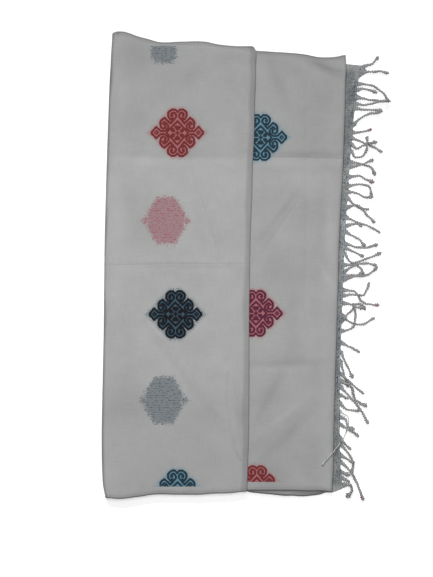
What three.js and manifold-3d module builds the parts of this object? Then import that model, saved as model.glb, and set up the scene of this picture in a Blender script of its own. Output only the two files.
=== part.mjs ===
// A dupatta: one woven length of fine cotton, folded into a flat parcel with one fringed end showing.
// Millimetres. +X runs along the cloth's length, +Y across the loom width, +Z up from the surface.
// The top panel lies on the middle panel, which lies on the end border with its knotted fringe.
import * as THREE from "three";
import { mergeVertices } from "three/addons/utils/BufferGeometryUtils.js";
import Module from "manifold-3d";

// Thicknesses and clearances.
const WALL = 1.2;
const SEAM_GAP = 0.3;

// The parcel's two folded panels: the height of each panel's face and its rough width, then its
// folds, each with the heights of its lower and upper layers, how far it rounds sideways, and how
// far the cloth goes on under it. A panel slopes down to its folds over its outer share.
const TOP_PANEL = { high: 16, width: 295 };
const LEFT_FOLD = { low: 0, high: 15.2, turn: 8, under: 20, panel: TOP_PANEL };
const TOP_FOLD = { low: 9.1, high: 14.2, turn: 6, under: 18, panel: TOP_PANEL };
const MIDDLE_PANEL = { high: 8.5, width: 175, underlap: 45 };
const MIDDLE_FOLD = { low: 1.5, high: 8, turn: 3.5, under: 16, panel: MIDDLE_PANEL };
const SLOPE_SHARE = 0.12;
const END_BORDER = { underlap: 25, headerWidth: 3, rows: 60 };

// Fold lines from front to back: the parcel's left edge, the right folds of the top and middle
// panels, and the fringed hem.
const FOLD_LINES = table(`
     y   left   top  middle   hem
  -450   -234    48     219   241
  -430   -238    49     219   241
  -400   -240    50     221   238
  -330   -241    52     222   236
  -220   -239    53     225   236
  -120   -237    53     228   239
   -20   -236    54     231   243
    60   -235    55     233   246
   140   -233    58     237   251
   210   -231    60     241   256
   270   -229    63     243   260
   330   -227    64     245   267
   380   -225    66     246   273
   397   -224    66     247   281
   411   -223    66     247   280
   438   -221    66     245   279
   450   -220    57     244   279
`);

// Selvedges of the top panel, across from its left edge (0) to its fold (1). The spill columns
// are how far the layers under it show past it.
const TOP_SELVEDGES = table(`
  across  front  back  frontSpill  backSpill
    0.00   -453   470          -1          1
    0.04   -455   474          -1          2
    0.11   -455   470          -1          4
    0.17   -453   464          -2          3
    0.23   -451   460          -2          0
    0.33   -447   453          -3         -2
    0.50   -447   454          -2         -3
    0.67   -447   454          -2         -3
    0.78   -445   448          -2         -2
    0.89   -444   445          -2         -3
    1.00   -441   445          -2         -3
`);

// Selvedges of the middle panel, across from the top panel's fold (0) to its own fold (1).
const MIDDLE_SELVEDGES = table(`
  across  front  back  frontSpill  backSpill
    0.00   -440   437           5         -3
    0.10   -440   436           6         -3
    0.28   -440   434           8         -3
    0.45   -440   432          10         -2
    0.56   -440   430          11         -2
    0.70   -441   425          11         -2
    0.80   -441   424           9         -2
    0.90   -441   425           6         -3
    0.96   -442   427           4         -3
    1.00   -444   429           1         -4
`);

// Selvedges of the end border, across from the middle panel's fold (0) to the fringed hem (1).
const BORDER_SELVEDGES = table(`
  across  front  back  frontSpill  backSpill
    0.00   -445   412           0          0
    1.00   -438   409           0          0
`);

// Creases, each a soft straight trough (below zero) or ridge across part of one panel.
const CREASES = table(`
  panel    x1    y1    x2    y2  width  lift
      1  -238   224    62   220      8  -1.4
      1  -238   204    62   203     12   0.8
      1  -237    18    55    14      7   1.0
      1  -237     6    55     3      7  -1.5
      1   -64   218    -9    20     11  -1.0
      1  -158  -113   -15  -298     13  -1.3
      1  -140  -118    -3  -292     12   0.8
      1    15  -204    40  -397     12   1.0
      1  -209   441  -150   412     14  -0.9
      2    66   226   246   224      9  -1.4
      2    66   206   246   205     10   0.8
      2   168   430   242   384     14  -1.8
      2    90   430   130   344     16  -1.2
      2   166   312   166   -60      8  -0.8
      2   134   105    75    34     16  -1.0
      2    59  -187   158  -187     12  -1.0
      2   184  -273    65  -364     20  -1.2
`);

// Rows of points across each panel, and the press creases that get closer rows of their own.
const PANEL_ROWS = 18;
const PRESS_CREASES = { top: [11, 222], middle: [222, 406] };
const PRESS_CREASE_STEP = 0.011;

// The hidden layers as flat leaves: which panel each ends under (1 the top, 2 the middle), its
// faces' heights, and its insets from the left edge, the fold and the two selvedges. A leaf with
// spill 1 takes the panels' spill instead of its front and back insets.
const LEAVES = table(`
  under   low  high  leftInset  rightInset  front  back  spill
      2   0.0   3.1         30          27      2     3      0
      2   2.9   5.3          6           8      0     4      1
      1   5.1   7.9          4          52      3     2      0
      1   7.7  10.8          4          52      1     5      0
      1  10.6  12.2          7           7      1     2      1
`);
const LEAF_BEVEL = 0.7;
const LEAF_STEPS = 10;

// Fringe strands: the root on the hem, then three places along the strand, measured out from its
// root, whether it ends in a knot (1) or not (0), and its width.
const STRANDS = table(`
  root   x1   y1   x2   y2   x3   y3  knot  width
   406   10    3   20    7   32   21     0    3.4
   396   19    0   34    1   53   -3     0    3.6
   372   27   -3   50  -18   62  -35     0    3.4
   360   14    2   26   -1   41   -6     1    3.4
   345   22   -4   45   -7   68   -8     0    3.6
   332   20   -2   42    3   63    6     0    3.4
   323   20   -3   40   -3   55   -7     1    3.4
   290   10   10   29   21   54   25     0    3.4
   275   12    0   27    3   39    6     0    3.4
   264   24  -10   44  -19   61  -29     0    3.6
   251    9   -8   29    0   52    5     1    3.4
   239    9  -14   26   -8   32   28     0    3.4
   216   19   -4   43  -13   49  -28     1    3.6
   206   18    3   32    8   47   15     0    3.4
   186   20    2   35   -6   50  -11     1    3.6
   168   17    3   40   -1   46  -20     0    3.4
   156   16   -2   32  -10   50  -10     0    3.4
   144   10  -11   24  -20   43  -23     0    3.4
   125   18    4   40  -16   56  -31     0    3.6
   105   22  -10   45  -18   68  -31     0    3.4
    88   10    3   20    4   32   -2     0    3.4
    77   12   -8   27  -16   39  -31     0    3.4
    53   22   -7   45   -8   66   -1     1    3.6
    44   14   -6   27  -12   38  -18     0    3.4
    34   13  -19   42  -12   74    1     1    3.4
    10   20    0   33   -7   39  -24     0    3.4
    -4   20   13   46   17   66   13     0    3.4
   -12   13    1   27    2   38    7     0    3.4
   -20   20    7   49   11   67   27     0    3.6
   -40   24   -4   38  -24   72  -31     0    3.4
   -51   22    2   40    1   53   27     0    3.4
   -66   20   -3   37   -3   45  -15     1    3.6
   -91   13  -12   38  -18   65   -4     0    3.4
  -102   13   16   28   27   43   27     0    3.4
  -122   20    6   27   30   22   57     0    3.4
  -145   11   -6   24  -12   37  -20     0    3.6
  -164    7  -17   17  -37   23  -53     1    3.4
  -183    7  -28   11  -40   15  -52     0    3.4
  -207   20  -18   36  -32   48  -41     0    3.4
  -221   21  -12   30  -38   54  -52     0    4.2
  -233   24  -26   43  -50   56  -75     0    3.6
  -250    6   -2   11   -5   17   -7     0    3.4
  -266    8   -9   20  -14   43  -14     0    3.4
  -283   16  -12    8  -50  -38 -106     0    3.4
  -294   11   -4   14  -17   29  -26     1    3.4
  -308   15  -10   27  -17   38  -25     0    3.4
  -335    9  -13   16  -19   22  -24     0    3.4
  -348   13  -15   25  -36   22  -61     0    3.6
  -370   10   -6   19  -11   28  -15     1    3.4
  -383   17  -17   32  -43   45  -78     0    3.6
  -404    6   -2   12   -4   17   -5     1    3.4
  -415    6   -4   11   -7   16   -9     0    3.4
  -430   13    2   18  -10    7  -25     1    4.2
`);
const STRAND_STEP = 6.5;
const STRAND_CLEARANCE = 0.5;
const STRAND_APART = 2.4;
const STRAND_SLOPE = 0.5;
const GROUND_SLOPE = 8;
const ROOT_SPREAD = 1.5;
const ROOT_DEPTH = 0.6;
const KNOT_RADIUS = 3.2;

/** Rows of a table written as text: the first line names the columns. */
function table(text) {
  const [names, ...rows] = text.trim().split("\n").map((line) => line.trim().split(/\s+/));
  return rows.map((row) => Object.fromEntries(names.map((name, i) => [name, Number(row[i])])));
}

/** One column of a table as a smooth function of another, level past the table's ends. */
function smoothColumn(rows, along, name) {
  const places = rows.map((row) => row[along]);
  const values = rows.map((row) => row[name]);
  const curve = new THREE.CubicInterpolant(places, values, 1);
  return (place) => curve.evaluate(place)[0];
}

const leftEdge = smoothColumn(FOLD_LINES, "y", "left");
const topFold = smoothColumn(FOLD_LINES, "y", "top");
const middleFold = smoothColumn(FOLD_LINES, "y", "middle");
const hemLine = smoothColumn(FOLD_LINES, "y", "hem");

/** A panel's two selvedges and the spill past them, as functions of the place across it. */
function selvedges(rows) {
  const column = (name) => smoothColumn(rows, "across", name);
  return {
    front: column("front"),
    back: column("back"),
    frontSpill: column("frontSpill"),
    backSpill: column("backSpill"),
  };
}

const topSelvedges = selvedges(TOP_SELVEDGES);
const middleSelvedges = selvedges(MIDDLE_SELVEDGES);
const borderSelvedges = selvedges(BORDER_SELVEDGES);

/** Height that the creases of a panel add at a place on it. */
function creaseHeight(panel, x, y) {
  let height = 0;
  for (const crease of CREASES.filter((row) => row.panel === panel)) {
    const start = new THREE.Vector2(crease.x1, crease.y1);
    const line = new THREE.Vector2(crease.x2, crease.y2).sub(start);
    const place = new THREE.Vector2(x, y).sub(start);
    const along = THREE.MathUtils.clamp(place.dot(line) / line.lengthSq(), 0, 1);
    const distance = place.distanceTo(line.multiplyScalar(along));
    height += crease.lift * Math.exp(-((distance / crease.width) ** 2));
  }
  return height;
}

/** Count + 1 places in equal steps, both ends taken in. */
function evenPlaces(from, to, count) {
  return Array.from({ length: count + 1 }, (_, i) => THREE.MathUtils.lerp(from, to, i / count));
}

/** Rows of a panel as shares of its width, with three close together on each press crease. */
function panelRows(edges, pressCreases) {
  const front = edges.front(0.5);
  const width = edges.back(0.5) - front;
  const creases = pressCreases.map((y) => (y - front) / width);
  const even = evenPlaces(0, 1, PANEL_ROWS).filter((row) =>
    creases.every((crease) => Math.abs(row - crease) > 1.5 * PRESS_CREASE_STEP),
  );
  const close = creases.flatMap((crease) => [-1, 0, 1].map((i) => crease + i * PRESS_CREASE_STEP));
  return [...even, ...close].sort((a, b) => a - b);
}

/** A mesh geometry from its points and its triangles' point numbers. */
function geometryOf(points, triangles) {
  const geometry = new THREE.BufferGeometry().setFromPoints(points);
  geometry.setIndex(triangles);
  geometry.computeVertexNormals();
  return geometry;
}

/** A closed wall between two grids of points, the outer one's faces turned outwards. */
function wallBetween(outer, inner) {
  const rows = outer.length;
  const columns = outer[0].length;
  const points = [...outer.flat(), ...inner.flat()];
  const at = (side, row, column) => (side * rows + row) * columns + column;
  const triangles = [];
  const quad = (a, b, c, d) => triangles.push(a, b, c, a, c, d);
  for (let row = 0; row + 1 < rows; row++) {
    for (let column = 0; column + 1 < columns; column++) {
      quad(at(0, row, column), at(0, row, column + 1), at(0, row + 1, column + 1), at(0, row + 1, column));
      quad(at(1, row, column), at(1, row + 1, column), at(1, row + 1, column + 1), at(1, row, column + 1));
    }
    const last = columns - 1;
    quad(at(0, row, 0), at(0, row + 1, 0), at(1, row + 1, 0), at(1, row, 0));
    quad(at(0, row, last), at(1, row, last), at(1, row + 1, last), at(0, row + 1, last));
  }
  for (let column = 0; column + 1 < columns; column++) {
    const last = rows - 1;
    quad(at(0, 0, column), at(1, 0, column), at(1, 0, column + 1), at(0, 0, column + 1));
    quad(at(0, last, column), at(0, last, column + 1), at(1, last, column + 1), at(1, last, column));
  }
  return geometryOf(points, triangles);
}

/** A closed tube through rings of points, its ends closed by fans. */
function tubeThrough(rings) {
  const sides = rings[0].length;
  const points = rings.flat();
  const triangles = [];
  for (let ring = 0; ring + 1 < rings.length; ring++) {
    for (let side = 0; side < sides; side++) {
      const here = ring * sides + side;
      const beside = ring * sides + ((side + 1) % sides);
      triangles.push(here, beside, beside + sides, here, beside + sides, here + sides);
    }
  }
  const end = points.length - sides;
  for (let side = 1; side + 1 < sides; side++) {
    triangles.push(0, side + 1, side, end, end + side, end + side + 1);
  }
  return geometryOf(points, triangles);
}

/** Angles round a fold, from its lower layer to its upper one. */
function turnAngles(count) {
  return evenPlaces(-Math.PI / 2, Math.PI / 2, count);
}

/** How much lower a panel lies near its two folds than at its middle. */
function slopeDown(across, leftDrop, rightDrop) {
  const fromLeft = Math.max(0, 1 - across / SLOPE_SHARE);
  const fromRight = Math.max(0, 1 - (1 - across) / SLOPE_SHARE);
  return leftDrop * fromLeft ** 2 + rightDrop * fromRight ** 2;
}

/** A place beside a fold line, on the side that the fold bulges to or under the panel over it. */
function besideFold(fold, across, shift, z) {
  const isUnder = z < (fold.low + fold.high) / 2;
  const spill = isUnder ? Math.abs(shift) / (fold.turn + fold.under) : 0;
  return { across, shift, z, crease: 0, selvedge: across + shift / fold.panel.width, spill };
}

/** Places round a fold, from its lower layer to its upper one, on the side that it bulges to. */
function foldTurn(fold, across, side, steps, inset) {
  const middle = (fold.low + fold.high) / 2;
  return turnAngles(steps).map((angle) => {
    const shift = side * ((fold.turn - inset) * Math.cos(angle) - fold.turn);
    return besideFold(fold, across, shift, middle + (fold.high - middle - inset) * Math.sin(angle));
  });
}

/** The end of the cloth that goes on under a fold. */
function underEnd(fold, across, side, inset) {
  return besideFold(fold, across, -side * (fold.turn + fold.under), fold.low + inset);
}

/**
 * Places along the top panel's section, from its return on the surface, round the left edge, over
 * the pile, round the fold and under. Each holds how far across the panel it is, how far it lies
 * from that fold line, its height, how much of the creases and of the spill it takes, and where
 * across the panel its selvedges are.
 */
function topPanelSection(inset) {
  const { high } = TOP_PANEL;
  const acrossSteps = 17;
  const places = evenPlaces(0, 1, acrossSteps).slice(1, -1).map((across) => ({
    across,
    shift: THREE.MathUtils.lerp(LEFT_FOLD.turn, -TOP_FOLD.turn, across),
    z: high - inset - slopeDown(across, high - LEFT_FOLD.high, high - TOP_FOLD.high),
    crease: Math.min(1, 5 * across, 7 * (1 - across)),
    selvedge: across,
    spill: 0,
  }));
  return [
    underEnd(LEFT_FOLD, 0, -1, inset),
    ...foldTurn(LEFT_FOLD, 0, -1, 8, inset),
    ...places,
    ...foldTurn(TOP_FOLD, 1, 1, 6, inset).reverse(),
    underEnd(TOP_FOLD, 1, 1, inset),
  ];
}

/** Places along the middle panel's section, from under the top panel, round its fold and under. */
function middlePanelSection(inset) {
  const { high, underlap } = MIDDLE_PANEL;
  const acrossSteps = 12;
  const places = evenPlaces(0, 1, acrossSteps).slice(0, -1).map((across) => ({
    across,
    shift: -MIDDLE_FOLD.turn * across,
    z: high - inset - slopeDown(across, 0, high - MIDDLE_FOLD.high),
    crease: Math.min(1, 12 * across),
    selvedge: across,
    spill: 0,
  }));
  return [
    { across: 0, shift: -underlap, z: high - inset, crease: 0, selvedge: 0, spill: 0 },
    ...places,
    ...foldTurn(MIDDLE_FOLD, 1, 1, 6, inset).reverse(),
    underEnd(MIDDLE_FOLD, 1, 1, inset),
  ];
}

/** Grid of points of one face of a panel: a row for each station from front to back. */
function panelFace(section, rows, edges, fromLine, toLine, panel) {
  return rows.map((row) =>
    section.map(({ across, shift, z, crease, selvedge, spill }) => {
      const front = edges.front(selvedge) - spill * edges.frontSpill(selvedge);
      const back = edges.back(selvedge) + spill * edges.backSpill(selvedge);
      const y = THREE.MathUtils.lerp(front, back, row);
      const x = THREE.MathUtils.lerp(fromLine(y), toLine(y), across) + shift;
      return new THREE.Vector3(x, y, z + crease * creaseHeight(panel, x, y));
    }),
  );
}

function topPanel() {
  const rows = panelRows(topSelvedges, PRESS_CREASES.top);
  const [outer, inner] = [0, WALL].map((inset) =>
    panelFace(topPanelSection(inset), rows, topSelvedges, leftEdge, topFold, 1),
  );
  return wallBetween(outer, inner);
}

function middlePanel() {
  const rows = panelRows(middleSelvedges, PRESS_CREASES.middle);
  const [outer, inner] = [0, WALL].map((inset) =>
    panelFace(middlePanelSection(inset), rows, middleSelvedges, topFold, middleFold, 2),
  );
  return wallBetween(outer, inner);
}

/** A flat strip of the cloth's end through places across it, each with its shift from that line. */
function endStrip(places) {
  const rows = evenPlaces(0, 1, END_BORDER.rows);
  const [outer, inner] = [WALL, 0].map((z) => {
    const section = places.map(({ across, shift }) => (
      { across, shift, z, crease: 0, selvedge: across, spill: 0 }
    ));
    return panelFace(section, rows, borderSelvedges, middleFold, hemLine, 0);
  });
  return wallBetween(outer, inner);
}

function endBorder() {
  return endStrip([
    { across: 0, shift: -END_BORDER.underlap },
    { across: 0, shift: 0 },
    { across: 1, shift: -END_BORDER.headerWidth - SEAM_GAP },
  ]);
}

/** Place of a hidden leaf's front or back edge at x, beside the selvedge of the panel over it. */
function leafEdge(leaf, side, x, y) {
  const isBeyondFold = x > topFold(y);
  const edges = isBeyondFold ? middleSelvedges : topSelvedges;
  const [from, to] = isBeyondFold ? [topFold(y), middleFold(y)] : [leftEdge(y), topFold(y)];
  const across = THREE.MathUtils.clamp((x - from) / (to - from), 0, 1);
  const outwards = leaf.spill ? edges[side + "Spill"](across) : -leaf[side];
  return new THREE.Vector2(x, edges[side](across) + (side === "front" ? -outwards : outwards));
}

/** Outline of a hidden leaf, anticlockwise from its front left corner. */
function leafOutline(leaf) {
  const rightLine = leaf.under === 2 ? middleFold : topFold;
  const right = (y) => rightLine(y) - leaf.rightInset;
  const left = (y) => leftEdge(y) + leaf.leftInset;
  const edgeRun = (side, y) =>
    evenPlaces(left(y), right(y), LEAF_STEPS).map((x) => leafEdge(leaf, side, x, y));
  const sideRun = (line, start, end) =>
    evenPlaces(start, end, LEAF_STEPS).slice(1, -1).map((y) => new THREE.Vector2(line(y), y));
  const front = edgeRun("front", topSelvedges.front(0));
  const back = edgeRun("back", topSelvedges.back(0)).reverse();
  const rightSide = sideRun(right, front.at(-1).y, back[0].y);
  const leftSide = sideRun(left, back.at(-1).y, front[0].y);
  return [...front, ...rightSide, ...back, ...leftSide];
}

/** One hidden leaf as a flat plate with bevelled edges. */
function leafPlate(leaf) {
  const shape = new THREE.Shape(leafOutline(leaf));
  const plate = new THREE.ExtrudeGeometry(shape, {
    depth: leaf.high - leaf.low - 2 * LEAF_BEVEL,
    bevelThickness: LEAF_BEVEL,
    bevelSize: LEAF_BEVEL,
    bevelOffset: -LEAF_BEVEL,
    bevelSegments: 1,
  });
  return plate.translate(0, 0, leaf.low + LEAF_BEVEL);
}

/** Height of what lies under a strand: the floor, the end border or the middle panel. */
function groundHeight(x, y) {
  const rise = (past, height) => height * THREE.MathUtils.clamp(1 - past / GROUND_SLOPE, 0, 1);
  const border = rise(x - hemLine(y), WALL + SEAM_GAP);
  return Math.max(border, rise(x - middleFold(y), MIDDLE_PANEL.high + SEAM_GAP));
}

/** How high a strand's centre must be at a place to clear one stretch of another strand. */
function heightOver(place, start, end, apart) {
  const stretch = new THREE.Line3(start.clone().setZ(0), end.clone().setZ(0));
  const flat = place.clone().setZ(0);
  const along = stretch.closestPointToPointParameter(flat, true);
  const distance = stretch.at(along, new THREE.Vector3()).distanceTo(flat);
  if (distance >= apart) return 0;
  return THREE.MathUtils.lerp(start.z, end.z, along) + Math.sqrt(apart ** 2 - distance ** 2);
}

/** Centre line of a strand, laid over the strands that already lie there. */
function laidRoute(strand, laidRoutes) {
  const root = new THREE.Vector3(hemLine(strand.root) - ROOT_DEPTH, strand.root, 0);
  const offsets = [[0, 0], [strand.x1, strand.y1], [strand.x2, strand.y2], [strand.x3, strand.y3]];
  const places = offsets.map(([x, y]) => new THREE.Vector3(x, y, 0).add(root));
  const curve = new THREE.CatmullRomCurve3(places, false, "centripetal");
  const steps = Math.max(3, Math.round(curve.getLength() / STRAND_STEP));
  const route = curve.getSpacedPoints(steps);
  const apart = strand.width + STRAND_APART;
  const [foot, ...free] = route;
  foot.z = STRAND_CLEARANCE + strand.width / 2;
  for (const place of free) {
    place.z = foot.z + groundHeight(place.x, place.y);
    for (const other of laidRoutes) {
      for (let i = 0; i + 1 < other.length; i++) {
        place.z = Math.max(place.z, heightOver(place, other[i], other[i + 1], apart));
      }
    }
  }
  const drop = STRAND_SLOPE * STRAND_STEP;
  for (let i = 2; i < route.length; i++) {
    route[i].z = Math.max(route[i].z, route[i - 1].z - drop);
  }
  for (let i = route.length - 2; i > 0; i--) {
    route[i].z = Math.max(route[i].z, route[i + 1].z - drop);
  }
  return route;
}

/** A four-sided strand along its route, spread at its root and thinner at its tip. */
function strandTube(route, width) {
  const up = new THREE.Vector3(0, 0, 1);
  const rings = route.map((place, i) => {
    const before = route[Math.max(0, i - 1)];
    const after = route[Math.min(route.length - 1, i + 1)];
    const along = after.clone().sub(before).normalize();
    const side = up.clone().cross(along).normalize();
    const above = along.clone().cross(side);
    const halfHeight = (i === route.length - 1 ? 0.7 : 1) * (width / 2);
    const halfWidth = i === 0 ? ROOT_SPREAD * halfHeight : halfHeight;
    return [[1, -1], [1, 1], [-1, 1], [-1, -1]].map(([sideways, upwards]) =>
      place.clone()
        .addScaledVector(side, sideways * halfWidth)
        .addScaledVector(above, upwards * halfHeight),
    );
  });
  return tubeThrough(rings);
}

const wasm = await Module();
wasm.setup();

/** A closed geometry as a manifold-3d solid. */
function solidOf(geometry) {
  const bare = geometry.index ? geometry.toNonIndexed() : geometry.clone();
  bare.deleteAttribute("normal");
  bare.deleteAttribute("uv");
  const merged = mergeVertices(bare, 1e-4);
  return new wasm.Manifold(new wasm.Mesh({
    numProp: 3,
    vertProperties: merged.attributes.position.array,
    triVerts: new Uint32Array(merged.index.array),
  }));
}

/** Several closed geometries joined into one. */
function joined(geometries) {
  const solid = geometries.map(solidOf).reduce((sum, next) => sum.add(next));
  const mesh = solid.getMesh();
  const geometry = new THREE.BufferGeometry();
  geometry.setAttribute("position", new THREE.BufferAttribute(mesh.vertProperties, 3));
  geometry.setIndex(new THREE.BufferAttribute(mesh.triVerts, 1));
  geometry.computeVertexNormals();
  return geometry;
}

function fringe() {
  const header = [{ across: 1, shift: -END_BORDER.headerWidth }, { across: 1, shift: 0 }];
  const pieces = [endStrip(header)];
  const laidRoutes = [];
  for (const strand of STRANDS) {
    const route = laidRoute(strand, laidRoutes);
    pieces.push(strandTube(route, strand.width));
    if (strand.knot) {
      const tip = route.at(-1);
      const height = Math.max(tip.z, KNOT_RADIUS + STRAND_CLEARANCE);
      pieces.push(new THREE.IcosahedronGeometry(KNOT_RADIUS, 0).translate(tip.x, tip.y, height));
    }
    laidRoutes.push(route);
  }
  return joined(pieces);
}

/** A named mesh with its cloth's colour. */
function clothMesh(name, geometry, colour) {
  const material = new THREE.MeshStandardMaterial({ color: colour, roughness: 0.95, metalness: 0 });
  const mesh = new THREE.Mesh(geometry, material);
  mesh.name = name;
  return mesh;
}

const GROUND_CLOTH = "#e4e3df";
const BORDER_CLOTH = "#8e9396";
const FRINGE_YARN = "#9b9c9d";

const dupatta = new THREE.Group();
dupatta.name = "dupatta";
dupatta.add(clothMesh("top_panel", topPanel(), GROUND_CLOTH));
dupatta.add(clothMesh("middle_panel", middlePanel(), GROUND_CLOTH));
dupatta.add(clothMesh("end_border", endBorder(), BORDER_CLOTH));
dupatta.add(clothMesh("inner_layers", joined(LEAVES.map(leafPlate)), GROUND_CLOTH));
dupatta.add(clothMesh("fringe", fringe(), FRINGE_YARN));

export default dupatta;
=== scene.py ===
"""A folded dupatta: the looks of its cloth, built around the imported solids.

Metres in Blender, millimetres in the tables and size fields. +X runs along the cloth's length,
+Y across the loom width, +Z up from the surface that the folded cloth rests on.
"""
import logging
from abc import ABC, abstractmethod
from dataclasses import dataclass, field
from enum import Enum
from typing import Callable, Sequence

import bpy
import numpy as np
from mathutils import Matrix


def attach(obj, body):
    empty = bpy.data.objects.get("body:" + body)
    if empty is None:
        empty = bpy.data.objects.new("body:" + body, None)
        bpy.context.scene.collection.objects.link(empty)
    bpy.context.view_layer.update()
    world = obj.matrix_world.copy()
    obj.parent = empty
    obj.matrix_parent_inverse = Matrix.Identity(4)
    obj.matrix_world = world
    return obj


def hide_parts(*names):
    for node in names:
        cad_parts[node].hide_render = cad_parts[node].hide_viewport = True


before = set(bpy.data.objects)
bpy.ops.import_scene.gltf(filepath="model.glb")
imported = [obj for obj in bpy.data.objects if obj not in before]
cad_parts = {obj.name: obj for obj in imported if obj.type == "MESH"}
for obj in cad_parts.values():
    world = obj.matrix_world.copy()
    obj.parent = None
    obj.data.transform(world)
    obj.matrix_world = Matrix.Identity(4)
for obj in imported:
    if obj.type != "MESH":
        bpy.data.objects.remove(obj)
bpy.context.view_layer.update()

log = logging.getLogger("dupatta")

MM = 0.001
BODY = "root"
LOOM_WIDTH = 915
# Rough y of the front and the back selvedge, and how far the border's cloth begins before y = 0.
ROUGH_FRONT, ROUGH_BACK = -447.0, 450.0
BORDER_START = 457

Curve = Callable[[np.ndarray], np.ndarray]
Colour = tuple[int, int, int]


class Layer(Enum):
    """The cloth that faces up: two folded panels and the open end."""

    TOP = 1
    MIDDLE = 2
    BORDER = 3


class Slot(Enum):
    """The record's material slots."""

    GROUND = "ground_cotton"
    BORDER = "border_cotton"
    YARN = "fringe_yarn"


class Table:
    """Rows of numbers written as text, whose first line names the columns."""

    def __init__(self, text: str) -> None:
        """Reads the rows.

        Args:
            text: The table, one row a line.
        """
        names, *rows = [line.split() for line in text.strip().splitlines()]
        self.columns = dict(zip(names, np.array(rows, dtype=float).T))

    def __getitem__(self, name: str) -> np.ndarray:
        """One column's values."""
        return self.columns[name]

    def rows(self) -> list[dict[str, float]]:
        """Each row as values by column name."""
        return [dict(zip(self.columns, row)) for row in np.array(list(self.columns.values())).T]

    def curve(self, along: str, name: str) -> Curve:
        """One column as a smooth function of another, level past the table's ends.

        Between two places it is the cubic with the mean of the neighbouring chords' slopes at
        each end.

        Args:
            along: The column of places, rising.
            name: The column of values.

        Returns:
            The function of a place.
        """
        places, values = self[along], self[name]
        chords = np.diff(values) / np.diff(places)
        slopes = np.concatenate([chords[:1], (chords[1:] + chords[:-1]) / 2, chords[-1:]])

        def evaluate(at: np.ndarray) -> np.ndarray:
            """The value at each place."""
            at = np.asarray(at, dtype=float)
            first = np.clip(np.searchsorted(places, at) - 1, 0, len(places) - 2)
            step = places[first + 1] - places[first]
            t = np.clip((at - places[first]) / step, 0, 1)
            start, end = values[first], values[first + 1]
            leaving, arriving = slopes[first] * step, slopes[first + 1] * step
            bend = leaving + arriving + 2 * (start - end)
            return start + t * (leaving + t * (3 * (end - start) - 2 * leaving - arriving + t * bend))

        return evaluate


FOLD_LINES = Table("""
     y left top middle hem
  -450 -234  48    219 241
  -430 -238  49    219 241
  -400 -240  50    221 238
  -330 -241  52    222 236
  -220 -239  53    225 236
  -120 -237  53    228 239
   -20 -236  54    231 243
    60 -235  55    233 246
   140 -233  58    237 251
   210 -231  60    241 256
   270 -229  63    243 260
   330 -227  64    245 267
   380 -225  66    246 273
   397 -224  66    247 281
   411 -223  66    247 280
   438 -221  66    245 279
   450 -220  57    244 279
""")

TOP_SELVEDGES = Table("""
  across front back frontSpill backSpill
    0.00  -453  470         -1         1
    0.04  -455  474         -1         2
    0.11  -455  470         -1         4
    0.17  -453  464         -2         3
    0.23  -451  460         -2         0
    0.33  -447  453         -3        -2
    0.50  -447  454         -2        -3
    0.67  -447  454         -2        -3
    0.78  -445  448         -2        -2
    0.89  -444  445         -2        -3
    1.00  -441  445         -2        -3
""")

MIDDLE_SELVEDGES = Table("""
  across front back frontSpill backSpill
    0.00  -440  437          5        -3
    0.10  -440  436          6        -3
    0.28  -440  434          8        -3
    0.45  -440  432         10        -2
    0.56  -440  430         11        -2
    0.70  -441  425         11        -2
    0.80  -441  424          9        -2
    0.90  -441  425          6        -3
    0.96  -442  427          4        -3
    1.00  -444  429          1        -4
""")

BORDER_SELVEDGES = Table("""
  across front back
    0.00  -445  412
    1.00  -438  409
""")

# Creases as soft straight troughs (below zero) or ridges; panel 1 is the top, 2 the middle.
CREASES = Table("""
  panel   x1   y1   x2   y2 width lift
      1 -238  224   62  220     8 -1.2
      1 -238  204   62  203    12  0.5
      1 -237   18   55   14     7  0.4
      1 -237    6   55    3     7 -0.6
      1  -64  218   -9   20    11 -1.0
      1 -158 -113  -15 -298    13 -1.3
      1 -140 -118   -3 -292    12  0.8
      1   15 -204   40 -397    12  1.0
      1 -209  441 -150  412    14 -0.9
      2   66  226  246  224     9 -1.4
      2   66  206  246  205    10  0.8
      2  168  430  242  384    14 -1.8
      2   90  430  130  344    16 -1.2
      2  166  312  166  -60     8 -0.8
      2  134  105   75   34    16 -1.0
      2   59 -187  158 -187    12 -1.0
      2  184 -273   65 -364    20 -1.2
""")

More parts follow.
